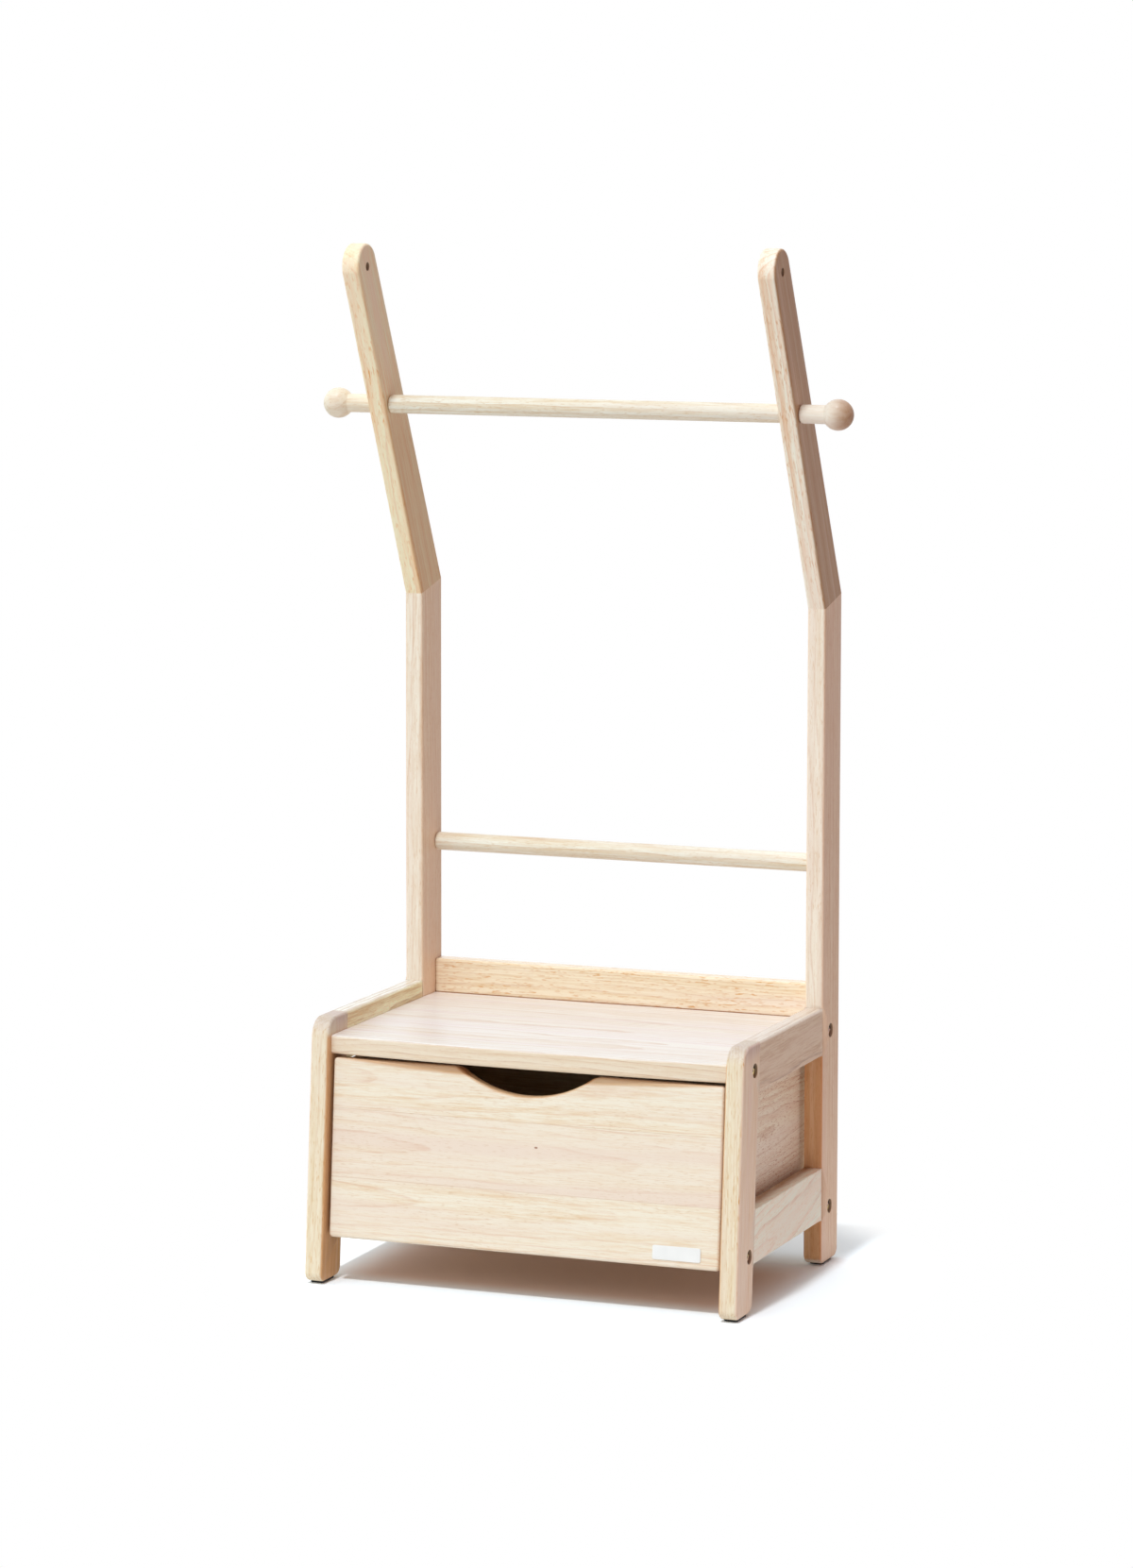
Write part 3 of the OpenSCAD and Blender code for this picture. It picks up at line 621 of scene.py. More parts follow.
def plated(name, warm, cool, rough, painted_shade=False):
    """Zinc plate: a thin film whose colour drifts, with fine turning marks.

    For bolts, it gets painted shade in their sockets and in patches that grow with the height over a bolt's
    axis.
    """
    s = Shader(bpy.data.materials.new(name))
    drift = s.noise(s.place, 190.0, 3.0).smooth(0.35, 0.65)
    scuff = s.noise(s.place, 900.0, 2.0)
    colour = s.mix(drift, linear(*warm), linear(*cool))
    if painted_shade:
        high, low = BOLT_Z
        height = s.along((0, 0, 1))
        above = height - (height.math("GREATER_THAN", (high + low) / 2) * (high - low) + low)
        # Painted shade on the upper parts of the heads and in the sockets
        upper_shade = (s.noise(s.place, 260.0, 2.0) + above * 0.07).smooth(0.56, 0.6)
        out = s.along((1, 0, 0)).math("ABSOLUTE")
        socket = 1.0 - out.smooth(BOLT_SEAT + HEAD_T - 0.6, BOLT_SEAT + HEAD_T - 0.3)
        colour = s.mix(upper_shade.math("MAXIMUM", socket), colour, linear(*BOLT_SHADE))
    return s.surface({
        "Base Color": colour, "Metallic": 1.0, "Roughness": scuff * 0.16 + rough,
        "Normal": s.bump(scuff, 0.02, 0.4)})


def glide_plastic():
    """Black moulded glide with a fine leathery skin and a little dust."""
    s = Shader(bpy.data.materials.new("black_glide"))
    leather = s.noise(s.place, 1400.0, 2.0)
    dust = s.noise(s.place, 120.0, 3.0).smooth(0.5, 0.8)
    return s.surface({
        "Base Color": s.mix(dust * 0.3, linear(28, 27, 27), linear(74, 70, 66)),
        "Roughness": leather * 0.25 + 0.45, "Normal": s.bump(leather, 0.05, 0.5)})


def white_enamel():
    """Bare white plate: smooth enamel with a faint unevenness."""
    s = Shader(bpy.data.materials.new("white_plate"))
    cloud = s.noise(s.place, 60.0, 2.0)
    grain = s.noise(s.place, 900.0, 2.0)
    return s.surface({
        "Base Color": s.mix(cloud.smooth(0.3, 0.7), linear(239, 237, 237), linear(235, 233, 233)),
        "Roughness": grain * 0.1 + 0.3, "Normal": s.bump(grain, 0.02, 0.3), "Coat Weight": 0.3})


def floor_finish():
    """Pale floor that the camera sees as white paper; it keeps the rack's shadow near the rack.

    What the camera, metal and glass see is a shadowed paper that turns to plain white over FLOOR_FADE from
    FLOOR_CENTRE, with painted warm shade under the box. What lights the rack from below is paper with its
    own bounce.
    """
    s = Shader(bpy.data.materials.new("pale_floor"))
    seen = s.seen()
    x, y = s.along((1, 0, 0)), s.along((0, 1, 0))
    away = s.distance(x - FLOOR_CENTRE[0], y - FLOOR_CENTRE[1])
    reach = s.distance(x - BRIGHT_CENTRE[0], y - BRIGHT_CENTRE[1]).smooth(*BRIGHT_FADE)
    paper = s.noise(s.place, 35.0, 3.0)
    dull = s.mix(paper * 0.3, FLOOR_BOUNCE, tuple(0.95 * k for k in FLOOR_BOUNCE))
    dull = s.mix(reach, dull, FLOOR_FAR)
    # Painted warm shade on the floor under the box
    under = (1.0 - x.math("ABSOLUTE").smooth(*UNDER_BOX_SHADE_X)) * y.smooth(*UNDER_BOX_SHADE_Y)
    under = under * (1.0 - y.smooth(*UNDER_BOX_SHADE_REAR))
    lit = s.mix(seen, dull, s.mix(under, FLOOR_SEEN, tuple(f * k for f, k in zip(FLOOR_SEEN, UNDER_BOX_SHADE))))
    near = s.node("ShaderNodeBsdfDiffuse", None, {"Color": lit})
    white = s.node("ShaderNodeEmission", None, {"Color": (1, 1, 1, 1), "Strength": 1.0})
    fade = away.smooth(*FLOOR_FADE) * seen
    both = s.node("ShaderNodeMixShader", None, {0: fade, 1: near.outputs[0], 2: white.outputs[0]})
    s.node("ShaderNodeOutputMaterial", None, {"Surface": both.outputs[0]})
    return s.owner


# The rack's shapes

def side_place(side):
    """Frame of a side board: u along Y, v up, w outwards."""
    return ((side * MID_X, 0, 0), (0, 1, 0), (0, 0, 1), (side, 0, 0))


def leg_outline():
    """A leaning board: arcs at the toe, the heel and the upper front corner, joined by straight edges."""
    toe = (leg_front(TOE_Z) + FOOT_R / math.cos(LEAN), TOE_Z)
    heel = (leg_rear(TOE_Z) - FOOT_R / math.cos(LEAN), TOE_Z)
    brow_z = SIDE_TOP - LEG_TOP_R
    brow = (leg_front(brow_z) + LEG_TOP_R / math.cos(LEAN), brow_z)
    lean = math.degrees(LEAN)

    def rear(z, before, after=None):
        return at(leg_rear(z), z, before, after)

    return outline(
        arc(toe, FOOT_R, 180 - lean, 270, EDGE), arc(heel, FOOT_R, 270, 360 - lean, EDGE, SOFT),
        rear(LOW_RAIL[0] - FADE, SOFT), rear(LOW_RAIL[0], 0), rear(LOW_RAIL[1], 0),
        rear(LOW_RAIL[1] + FADE, WINDOW), rear(TOP_RAIL_LOW - FADE, WINDOW), rear(TOP_RAIL_LOW, 0),
        rear(SIDE_TOP, 0, EDGE), arc(brow, LEG_TOP_R, 90, 180 - lean, EDGE))


def post_outline():
    """An upright board with an arc at each lower corner, cut off above on the mitre with the arm."""
    return outline(
        arc((POST_Y + FOOT_R, TOE_Z), FOOT_R, 180, 270, SOFT, EDGE),
        arc((REAR_Y - FOOT_R, TOE_Z), FOOT_R, 270, 360, EDGE),
        at(REAR_Y, BEND_REAR_Z, EDGE, 0), at(POST_Y, BEND_Z, 0, EDGE),
        at(POST_Y, SIDE_TOP + FADE, EDGE), at(POST_Y, SIDE_TOP, 0), at(POST_Y, TOP_RAIL_LOW, 0),
        at(POST_Y, TOP_RAIL_LOW - FADE, WINDOW), at(POST_Y, LOW_RAIL[1] + FADE, WINDOW),
        at(POST_Y, LOW_RAIL[1], 0), at(POST_Y, LOW_RAIL[0], 0), at(POST_Y, LOW_RAIL[0] - FADE, SOFT))


def arm_outline():
    """The arm's two edges run from the ends of the mitre to where they touch the tip's circle.

    Seen from a point d away, a tangent lies asin(r / d) beside the centre, and its radius is square to it.
    """
    def touch_angle(point, side):
        reach = np.array(TIP) - point
        distance = float(np.linalg.norm(reach))
        heading = math.atan2(reach[1], reach[0])
        return math.degrees(heading - side * math.pi / 2 + side * math.asin(TIP_R / distance))

    front, rear = np.array([POST_Y, BEND_Z]), np.array([REAR_Y, BEND_REAR_Z])
    return outline(
        at(*front, EDGE, 0), at(*rear, 0, EDGE),
        arc(TIP, TIP_R, touch_angle(rear, 1), touch_angle(front, -1), EDGE, steps=36))


def rail_outline(low, high, under, over):
    """Side rail between the leg's slanted rear face and the post; over is the rounding of its upper edge."""
    keeps = over == EDGE
    upper = outline(at(POST_Y - FADE, high, over),
                    at(leg_rear(high), high, over, 0) if keeps
                    else outline(at(leg_rear(high) + FADE, high, over), at(leg_rear(high), high, 0)))
    return outline(
        at(leg_rear(low), low, 0), at(leg_rear(low) + FADE, low, under), at(POST_Y - FADE, low, under),
        at(POST_Y, low, 0), at(POST_Y, high, 0), upper)


def bench_outline():
    """The front edge is a shallow arc whose middle stands BENCH_BOW in front of its ends."""
    bow_r = (INNER_X ** 2 + BENCH_BOW ** 2) / (2 * BENCH_BOW)
    x = np.linspace(-INNER_X, INNER_X, 61)
    y = BENCH_FRONT - BENCH_BOW + bow_r - np.sqrt(bow_r ** 2 - x ** 2)
    edge = np.full((len(x), 2), EDGE)
    edge[0, 0] = edge[-1, 1] = 0
    return outline(np.column_stack([x, y, edge]), at(INNER_X, BACK_RAIL_Y, 0, BENCH_REAR_EDGE),
                   at(-INNER_X, BACK_RAIL_Y, BENCH_REAR_EDGE, 0))


def rectangle(x0, y0, x1, y1, sides):
    """Square-cornered outline; sides are the roundings of its lower, right, upper and left edges."""
    low, right, high, left = sides
    return outline(at(x0, y0, left, low), at(x1, y0, low, right),
                   at(x1, y1, right, high), at(x0, y1, high, left))


def rounded_rectangle(x0, y0, x1, y1, radius, edge):
    """Rectangle with a quarter circle at each corner."""
    left, low, right, high = x0 + radius, y0 + radius, x1 - radius, y1 - radius
    centres = (left, low), (right, low), (right, high), (left, high)
    return outline(*(arc(centre, radius, 180 + 90 * i, 270 + 90 * i, edge, steps=8)
                     for i, centre in enumerate(centres)))


def front_outline():
    """Box front with the finger scoop: a wide hollow arc with an arc of the opposite curve at each end.

    A shoulder's centre is as far from the scoop's centre as the two radii together, and lies its own radius
    under the upper edge, so the arcs run into each other and into the edge.
    """
    half, corner = FRONT_W / 2, FRONT_CORNER_R
    middle = FRONT_H - SCOOP_D + SCOOP_R
    reach = SCOOP_R + SCOOP_SHOULDER_R
    shoulder_z = FRONT_H - SCOOP_SHOULDER_R
    shoulder_x = math.sqrt(reach ** 2 - (middle - shoulder_z) ** 2)
    swing = math.degrees(math.atan2(middle - shoulder_z, shoulder_x))
    return outline(
        arc((corner - half, corner), corner, 180, 270, EDGE),
        arc((half - corner, corner), corner, 270, 360, EDGE),
        arc((half - corner, FRONT_H - corner), corner, 0, 90, EDGE),
        arc((shoulder_x, shoulder_z), SCOOP_SHOULDER_R, 90, 180 - swing, EDGE, steps=14),
        arc((0, middle), SCOOP_R, -swing, swing - 180, EDGE, steps=60)[1:-1],
        arc((-shoulder_x, shoulder_z), SCOOP_SHOULDER_R, swing, 90, EDGE, steps=14),
        arc((corner - half, FRONT_H - corner), corner, 90, 180, EDGE))


def box_side_outline():
    """Four straight edges, the front one leaning with the box front."""
    low, high = BOX_Z
    return outline(
        at(front_back(low), low, 0, SOFT), at(BOX_REAR, low, SOFT), at(BOX_REAR, high, SOFT),
        at(front_back(high), high, SOFT, 0))


def curve(x, r, radius, start, end, steps):
    """Profile rows (x + radius cos t, r + radius sin t) from one angle to another, in radians."""
    turn = np.linspace(start, end, steps + 1)
    return np.stack([x + radius * np.cos(turn), r + radius * np.sin(turn)], axis=1)


def rod_profile():
    """Straight bar whose ends turn in over a quarter-round shoulder."""
    right = curve(INNER_X - SHOULDER_R, ROD_R - SHOULDER_R, SHOULDER_R, math.pi / 2, 0, 8)
    half = np.concatenate([[[0, ROD_R]], right, [[INNER_X, 0]]])
    return np.concatenate([(half * (-1, 1))[::-1][:-1], half])


def knob_profile():
    """Quarter-round shoulder, peg, small hollow fillet, then the ball to its pole.

    The fillet touches the peg and the ball: its centre is BALL_R + FILLET_R from the ball's centre.
    """
    shoulder = curve(OUTER_X + SHOULDER_R, ROD_R - SHOULDER_R, SHOULDER_R, math.pi, math.pi / 2, 8)
    run = math.sqrt((BALL_R + FILLET_R) ** 2 - (ROD_R + FILLET_R) ** 2)
    touch = math.atan2(ROD_R + FILLET_R, run)
    fillet = curve(BALL_X - run, ROD_R + FILLET_R, FILLET_R, -math.pi / 2, -touch, 8)
    ball = curve(BALL_X, 0, BALL_R, math.pi - touch, 0, 32)[1:]
    return np.concatenate([[[OUTER_X, 0]], shoulder, fillet, ball])


def bolt_rows():
    """Rows (x from the seat, radius, hexagon share) of a bolt: shank, round head, hexagon socket."""
    chamfer, rim, lip = 0.4, 0.7, 0.25
    bend = curve(HEAD_T - rim, HEAD_R - rim, rim, math.pi / 2, 0, 4)
    return np.concatenate([
        [[-BOLT_LEN, 0, 0], [-BOLT_LEN, SHANK_R - chamfer, 0], [chamfer - BOLT_LEN, SHANK_R, 0],
         [0, SHANK_R, 0], [0, HEAD_R, 0]],
        np.column_stack([bend, np.zeros(len(bend))]),
        [[HEAD_T, SOCKET_R + 2 * lip, 0.6], [HEAD_T - lip, SOCKET_R, 1],
         [HEAD_T / 3, SOCKET_R, 1], [HEAD_T / 3, 0, 1]]])


def bolt(place, side):
    """Points of one bolt, a ring for each of its rows.

    At angle t a round ring has radius r, and a hexagon r cos 30 / cos(t mod 60 - 30).
    """
    rows = bolt_rows()
    turn = full_turn(BOLT_STEPS)
    hexagon = math.cos(math.pi / 6) / np.cos(np.mod(turn, math.pi / 3) - math.pi / 6)
    radius = rows[:, 1:2] * (1 + rows[:, 2:3] * (hexagon[None] - 1))
    x = side * (BOLT_SEAT + np.repeat(rows[:, :1], BOLT_STEPS, axis=1))
    y = place[0] + radius * np.cos(turn)
    z = place[1] + radius * np.sin(turn)
    return np.stack([x, y, z], axis=2).reshape(-1, 3)


# Where the bolts go in, as (y, z): into the legs and into the posts, the upper one first
LEG_BOLTS = [(leg_front(z) + BOLT_BACK, z) for z in BOLT_Z]
POST_BOLTS = [(POST_MID, z) for z in BOLT_Z]


# The pieces
SIDES = {"left": -1, "right": 1}


def lying(z, x=0, y=0):
    """Frame of a board that lies flat with its middle at height z: u along X, v along Y, w up."""
    return (x, y, z), (1, 0, 0), (0, 1, 0), (0, 0, 1)


def facing(y):
    """Frame of an upright cross board whose middle is at y: u along X, v up, w to the front."""
    return (0, y, 0), (1, 0, 0), (0, 0, 1), (0, -1, 0)


def counterbores(places):
    return [(y, z, COUNTERBORE_R, OUTER_X - BOLT_SEAT, 1) for y, z in places]


# Counterbores whose walls get painted shade
def shaded_rims(places):
    return [(y, z, COUNTERBORE_R) for y, z in places]


def nut_holes(ys):
    """Pockets for the barrel nuts in the under side of a cross board."""
    return [(side * BARREL_X, y, BARREL_HOLE_R, BARREL_HOLE_DEPTH, -1)
            for side in SIDES.values() for y in ys]


def side_board(name, node, shape, side, finish, holes=(), pockets=()):
    """A board of a side frame, in place of one node."""
    board(name, shape, BOARD_T, side_place(side), "frame", finish, (node,), holes, pockets)


def make_leg(word, side, own):
    finish = wood(
        f"leg_wood_{word}", (0, math.sin(LEAN), math.cos(LEAN)), (side, 0, 0),
        (side * MID_X, (leg_front(150) + leg_rear(150)) / 2, 150), (34, -46 * side), own * 1.3,
        pale=(241, 226, 203), deep=(226, 198, 158), pore=(214, 164, 98), pores=1.0, coarse=1.5,
        speckled=22.5, ring=4.2, lines=0.25, tint=(0.95, 0.96, 0.96), shaded_holes=shaded_rims(LEG_BOLTS),
        # Painted shade inside below the bench top, painted light outside, cooler painted shade at the top
        skins=[skin((side, 0, 0), INNER_X, (0.9, 0.62, 0.42), top=BENCH_TOP, fade=3),
               skin((-side, 0, 0), -OUTER_X, (1.13, 1.0, 1.03)),
               skin((0, 0, -1), -SIDE_TOP, (0.76, 0.74, 0.84), depth=LEG_TOP_R)])
    side_board(f"leg_board_{word}", f"front_leg_{word}", leg_outline(), side, finish,
               pockets=counterbores(LEG_BOLTS))


def make_post(word, side, own):
    finish = wood(
        f"post_wood_{word}", (0, 0, 1), (side, 0, 0), (side * MID_X, 137, 400), (-70, 55 * side), own * 2.1,
        pale=(240, 225, 206), deep=(222, 193, 164), ring=6.0, lines=0.5, tint=(1.02, 1.04, 1.08),
        ring_depth=0.35, shaded_holes=shaded_rims(POST_BOLTS),
        # Painted shade on the front face in the window; warmer painted light and shade on the inner and
        # outer faces
        skins=[skin((0, 1, 0), POST_Y, (0.82, 0.53, 0.32), top=TOP_RAIL_LOW, fade=3),
               skin((side, 0, 0), INNER_X, (1.1, 1.0, 0.9)),
               skin((-side, 0, 0), -OUTER_X, (1.03, 0.87, 0.77))])
    side_board(f"post_board_{word}", f"rear_post_{word}", post_outline(), side, finish,
               pockets=counterbores(POST_BOLTS))


def make_arm(word, side, own):
    """The right arm is cut from rosier wood with painted shade outside, the left one from yellower wood with
    the rod's painted shadow.
    """
    way = np.array([0, -math.sin(ARM_LEAN), math.cos(ARM_LEAN)])
    elbow = np.array([side * MID_X, POST_MID, (BEND_Z + BEND_REAR_Z) / 2])
    if side > 0:
        tones = {"pale": (241, 222, 204), "deep": (224, 188, 158), "pore": (206, 152, 108),
                 # Painted shade on the outer face
                 "tint": (1.19, 1.23, 1.28), "skins": [skin((-1, 0, 0), -OUTER_X, (0.53, 0.35, 0.22))]}
    else:
        tones = {"pale": (240, 222, 196), "deep": (224, 194, 156), "pore": (212, 158, 98),
                 "tint": (1.27, 1.18, 1.13),
                 # Painted shadow of the rod on the inner face
                 "skins": [skin((-1, 0, 0), INNER_X, (0.82, 0.7, 0.6), top=ROD[1], fade=60)]}
    finish = wood(f"arm_wood_{word}", way, (side, 0, 0), elbow + 200 * way, (60, 38 * side), own * 3.3,
                  pores=0.9, coarse=1.4, speckled=23.5, streaks=0.7, shaded_holes=[(*TIP, TIP_HOLE_R)], **tones)
    side_board(f"arm_board_{word}", f"post_arm_{word}", arm_outline(), side, finish,
               holes=[(*TIP, TIP_HOLE_R)])


def make_side_rails(word, side, own):
    """The left top rail is of paler wood than the right one. Painted shade darkens the lower rails towards
    the box.
    """
    # Painted sheen on the top rails' upper faces, which turns them cooler
    top_skins = [skin((0, 0, -1), -SIDE_TOP, (0.92, 1.02, 1.14))]
    if side < 0:
        # Painted light on the left top rail's inner face
        top_skins.append(skin((side, 0, 0), INNER_X, (1.14, 1.29, 1.13)))
    top_finish = wood(
        f"top_rail_wood_{word}", (0, 1, 0), (side, 0, 0), (side * MID_X, 0, 257), (12, -60 * side),
        own * 4.1, pale=(236, 219, 200), deep=(204, 168, 138), late=(150, 104, 82), ring=7.0,
        ring_depth=0.7, lines=0.75, dive=0.02, tint=(0.98, 0.9, 0.86) if side > 0 else (1.12, 1.15, 1.15),
        polish=SIDE_TOP - 4, fine=0.8, skins=top_skins)
    side_board(f"top_rail_board_{word}", f"top_side_rail_{word}",
               rail_outline(TOP_RAIL_LOW, SIDE_TOP, WINDOW, EDGE), side, top_finish)
    # Painted shade on the lower rails' upper faces, darkest next to the box
    shade = skin((0.7 * side, 0, -0.7), 0.7 * (INNER_X + 3 - LOW_RAIL[1]), (0.4, 0.23, 0.14), depth=11.0)
    low_finish = wood(
        f"low_rail_wood_{word}", (0, 0.97, 0.2), (side, 0, 0), (side * MID_X, 0, 80), (-6, -26 * side),
        own * 5.7, pale=(242, 228, 212), deep=(230, 207, 186), late=(196, 148, 122), ring=6.0,
        ring_depth=0.45, dive=0.04, tint=(1.28, 1.23, 1.27), skins=[shade])
    side_board(f"low_rail_board_{word}", f"lower_side_rail_{word}",
               rail_outline(*LOW_RAIL, SOFT, WINDOW), side, low_finish)


def make_side_frames():
    for word, side in SIDES.items():
        own = 1 if side > 0 else 2
        make_leg(word, side, own)
        make_post(word, side, own)
        make_arm(word, side, own)
        make_side_rails(word, side, own)


def make_bench():
    """A bench top glued from strips, and a back rail with painted shade at its joints with the bench and the
    left post.
    """
    middle = (BENCH_LOW + BENCH_TOP) / 2
    bench_finish = wood(
        "bench_wood_strips", (1, 0, 0), (0, 0, 1), (0, 0, middle), (30, -40), 6.2, pale=(242, 231, 218),
        deep=(230, 206, 180), blush=(238, 219, 211), late=(198, 142, 104), staves=(58, -9, 0.3), ring=5.5,
        ring_depth=0.3, lines=0.55, wobble=3.0, dive=0.01, pores=0.2, fine=0.4, tint=(0.92, 0.86, 0.78),
        # Painted sheen on the bench top's upper face, which turns it cooler
        coat=0.35, skins=[skin((0, 0, -1), -BENCH_TOP, (1.01, 1.12, 1.37))])
    board("bench_board", bench_outline(), BENCH_TOP - BENCH_LOW, lying(middle), "frame", bench_finish,
          ("bench_top",), pockets=nut_holes((LEG_BOLTS[0][0], POST_BOLTS[0][0])))
    rail_finish = wood(
        "back_rail_wood", (1, 0, 0), (0, -1, 0), (0, 156, 273), (-40, 30), 7.4, pale=(240, 219, 187),
        deep=(224, 190, 146), pore=(210, 148, 82), pores=0.95, coarse=1.35, ring=5.0,
        tint=(1.07, 1.12, 1.22), polish=BACK_RAIL_TOP - 4,
        # Painted shade along the joints with the bench and the left post
        skins=[skin((0, 0, 1), BENCH_TOP, (0.42, 0.25, 0.15), depth=1.5),
               skin((1, 0, 0), -INNER_X, (0.5, 0.33, 0.22), depth=1.3)])
    board("back_rail_board", rectangle(-INNER_X, BENCH_LOW, INNER_X, BACK_RAIL_TOP, (SOFT, 0, EDGE, 0)),
          REAR_Y - BACK_RAIL_Y, facing((REAR_Y + BACK_RAIL_Y) / 2), "frame", rail_finish,
          ("back_rail",))


def make_stretchers():
    low, high = STRETCHER_Z
    for name, y, bolt_y in (("front_stretcher", STRETCHER_FRONT, LEG_BOLTS[1][0]),
                            ("rear_stretcher", REAR_Y - STRETCHER_W, POST_BOLTS[1][0])):
        finish = wood(name + "_wood", (1, 0, 0), (0, 0, 1), (0, y + 22, 62), (20, 34), y * 0.1 + 20.0)
        shape = rectangle(-INNER_X, y, INNER_X, y + STRETCHER_W, (SOFT, 0, SOFT, 0))
        board(name + "_board", shape, high - low, lying((low + high) / 2), "frame", finish,
              (name,), pockets=nut_holes((bolt_y,)))


def make_rods():
    for name, node, axis, seed in (("rod_turned", "hanging_rod", ROD, 8.3),
                                   ("bar_turned", "lower_bar", BAR, 9.6)):
        finish = wood(
            name + "_wood", (1, 0, 0), (0, 0, 1), (0, *axis), (9, -22), seed, pale=(245, 233, 214),
            deep=(226, 196, 160), wobble=2.5, streaks=0.6, pores=0.55, dive=0.005, tint=(0.94, 1.0, 1.06),
            coat=0.1)
        turned(name, rod_profile(), axis, "frame", finish, (node,))
    for word, side in SIDES.items():
        # Painted shade on the right knob's outer end
        end = [skin((-1, 0, 0), -BALL_X - BALL_R, (0.56, 0.36, 0.24), depth=30)] if side > 0 else []
        finish = wood(
            f"knob_wood_{word}", (1, 0, 0), (0, 0, 1), (side * BALL_X, *ROD), (6, -12), 10.0 + side,
            pale=(243, 232, 212), deep=(226, 198, 162), ring=6.0, ring_depth=0.25, wobble=1.0, lines=0.2,
            streaks=0.35, pores=0.3, dive=0.0, coat=0.15, skins=end,
            tint=(1.0, 1.0, 1.08) if side > 0 else (0.96, 0.94, 0.95))
        turned(f"knob_turned_{word}", knob_profile(), ROD, "frame", finish,
               (f"rod_knob_{word}",), mirror=side)


def make_box():
    """The box front leans with the legs, so its frame is (1, 0, 0), up along it and out of its face."""
    up = np.array([0, math.sin(LEAN), math.cos(LEAN)])
    out = np.array([0, -math.cos(LEAN), math.sin(LEAN)])
    foot = np.array([0, FRONT_PLANE_Y, FRONT_Z])
    shade_r = (SHADE_HALF ** 2 + SHADE_D ** 2) / (2 * SHADE_D)
    speck_x, speck_up = 13.6, 112.6
    front_finish = wood(
        "box_front_strips", (1, 0, 0), out, foot, (24, -34), 11.9, pale=(246, 233, 216),
        deep=(233, 199, 160), blush=(240, 218, 203), late=(216, 156, 120), staves=(73, -8, 0.12),
        rosy_band=(65, 138, 0.3), ring=6.0, ring_depth=0.25, lines=0.4, wobble=3.0, dive=0.02, pores=0.35,
        coarse=1.2, streaks=0.45, tint=(0.93, 0.94, 0.94),
        # Painted shadow of the bench's bowed edge along the upper edge, then darker round the scoop's rim
        hollows=[(0, FRONT_H - SHADE_D + shade_r, shade_r, 4.0, (0.78, 0.58, 0.42)),
                 (0, FRONT_H - SCOOP_D + SCOOP_R, SCOOP_R, 3.0, (0.76, 0.55, 0.38))],
        knot=(float(np.cross(out, (1, 0, 0)) @ (foot + up * speck_up)), speck_x, 1.3))
    board("box_front_board", front_outline(), FRONT_T, (foot - out * FRONT_T / 2, (1, 0, 0), up, out), "box",
          front_finish, ("box_front",))
    for word, side in SIDES.items():
        side_finish = wood(
            f"box_side_wood_{word}", (0, 1, 0), (side, 0, 0), (side * 211, 0, 150), (16, -30 * side),
            12.7 + side, pale=(236, 212, 189), deep=(212, 173, 144), pore=(176, 116, 80),
            late=(182, 130, 100), ring=6.0, lines=0.45, wobble=6.0, pores=0.95, tint=(1.2, 1.27, 1.34))
        board(f"box_side_board_{word}", box_side_outline(), BOX_T,
              ((side * (BOX_X - BOX_T / 2), 0, 0), (0, 1, 0), (0, 0, 1), (side, 0, 0)), "box",
              side_finish, (f"box_side_{word}",))
    half = BOX_X - BOX_T
    back_finish = wood("box_back_wood", (1, 0, 0), (0, -1, 0), (0, 119, 150), (30, 40), 14.2,
                       pale=(226, 200, 168), deep=(200, 164, 124), staves=(62, 0, 0.3))
    board("box_back_board", rectangle(-half, BOX_Z[0], half, BOX_Z[1], (SOFT, 0, SOFT, 0)), BOX_T,
          facing(BOX_REAR - BOX_T / 2), "box", back_finish, ("box_back",))
    veneer = wood("panel_veneer", (1, 0, 0), (0, 0, 1), (0, 0, 83), (60, 400), 15.5, pale=(228, 204, 170),
                  deep=(206, 172, 132), ring=9.0, wobble=16.0, rough=0.6)
    low, high = PANEL_Z
    board("box_bottom_panel", rectangle(-half, front_back(high), half, BOX_REAR - BOX_T, (0, 0, 0, 0)),
          high - low, lying((low + high) / 2), "box", veneer, ("box_bottom",))
    plate = rounded_rectangle(-PLATE_HALF, PLATE_Z[0], PLATE_HALF, PLATE_Z[1], PLATE_CORNER_R, PLATE_EDGE)
    plate_at = foot + np.array([PLATE_X, 0, 0]) + out * (PLATE_T / 2 + PLATE_GAP)
    board("bare_plate", plate, PLATE_T, (plate_at, (1, 0, 0), up, out), "box", white_enamel())


def dress(node, material):
    """Gives a CAD node's object its finish."""
    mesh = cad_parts[node].data
    if not mesh.materials:
        mesh.materials.append(material)
    for i in range(len(mesh.materials)):
        mesh.materials[i] = material


def make_fasteners():
    """Eight bolts in one mesh; nuts, screws and studs keep the solids' own shapes."""
    zinc = plated("yellow_zinc_plate", (226, 196, 118), (212, 178, 150), 0.2)
    points = [bolt(place, side) for side in SIDES.values() for place in LEG_BOLTS + POST_BOLTS]
    rows = len(bolt_rows())
    faces = [face for i in range(len(points))
             for face in grid_faces(rows, BOLT_STEPS, i * rows * BOLT_STEPS)]
    # Bolt heads with painted shade
    bolt_zinc = plated("yellow_zinc_painted_shade", (238, 222, 140), (236, 190, 184), 0.16, painted_shade=True)
    make_mesh("frame_bolts", np.concatenate(points), faces, "frame", bolt_zinc,
              ("side_bolts",))
    for node in ("barrel_nuts", "runner_screws"):
        dress(node, zinc)
    dress("knob_studs", plated("bright_zinc_plate", (196, 198, 202), (176, 179, 186), 0.22))


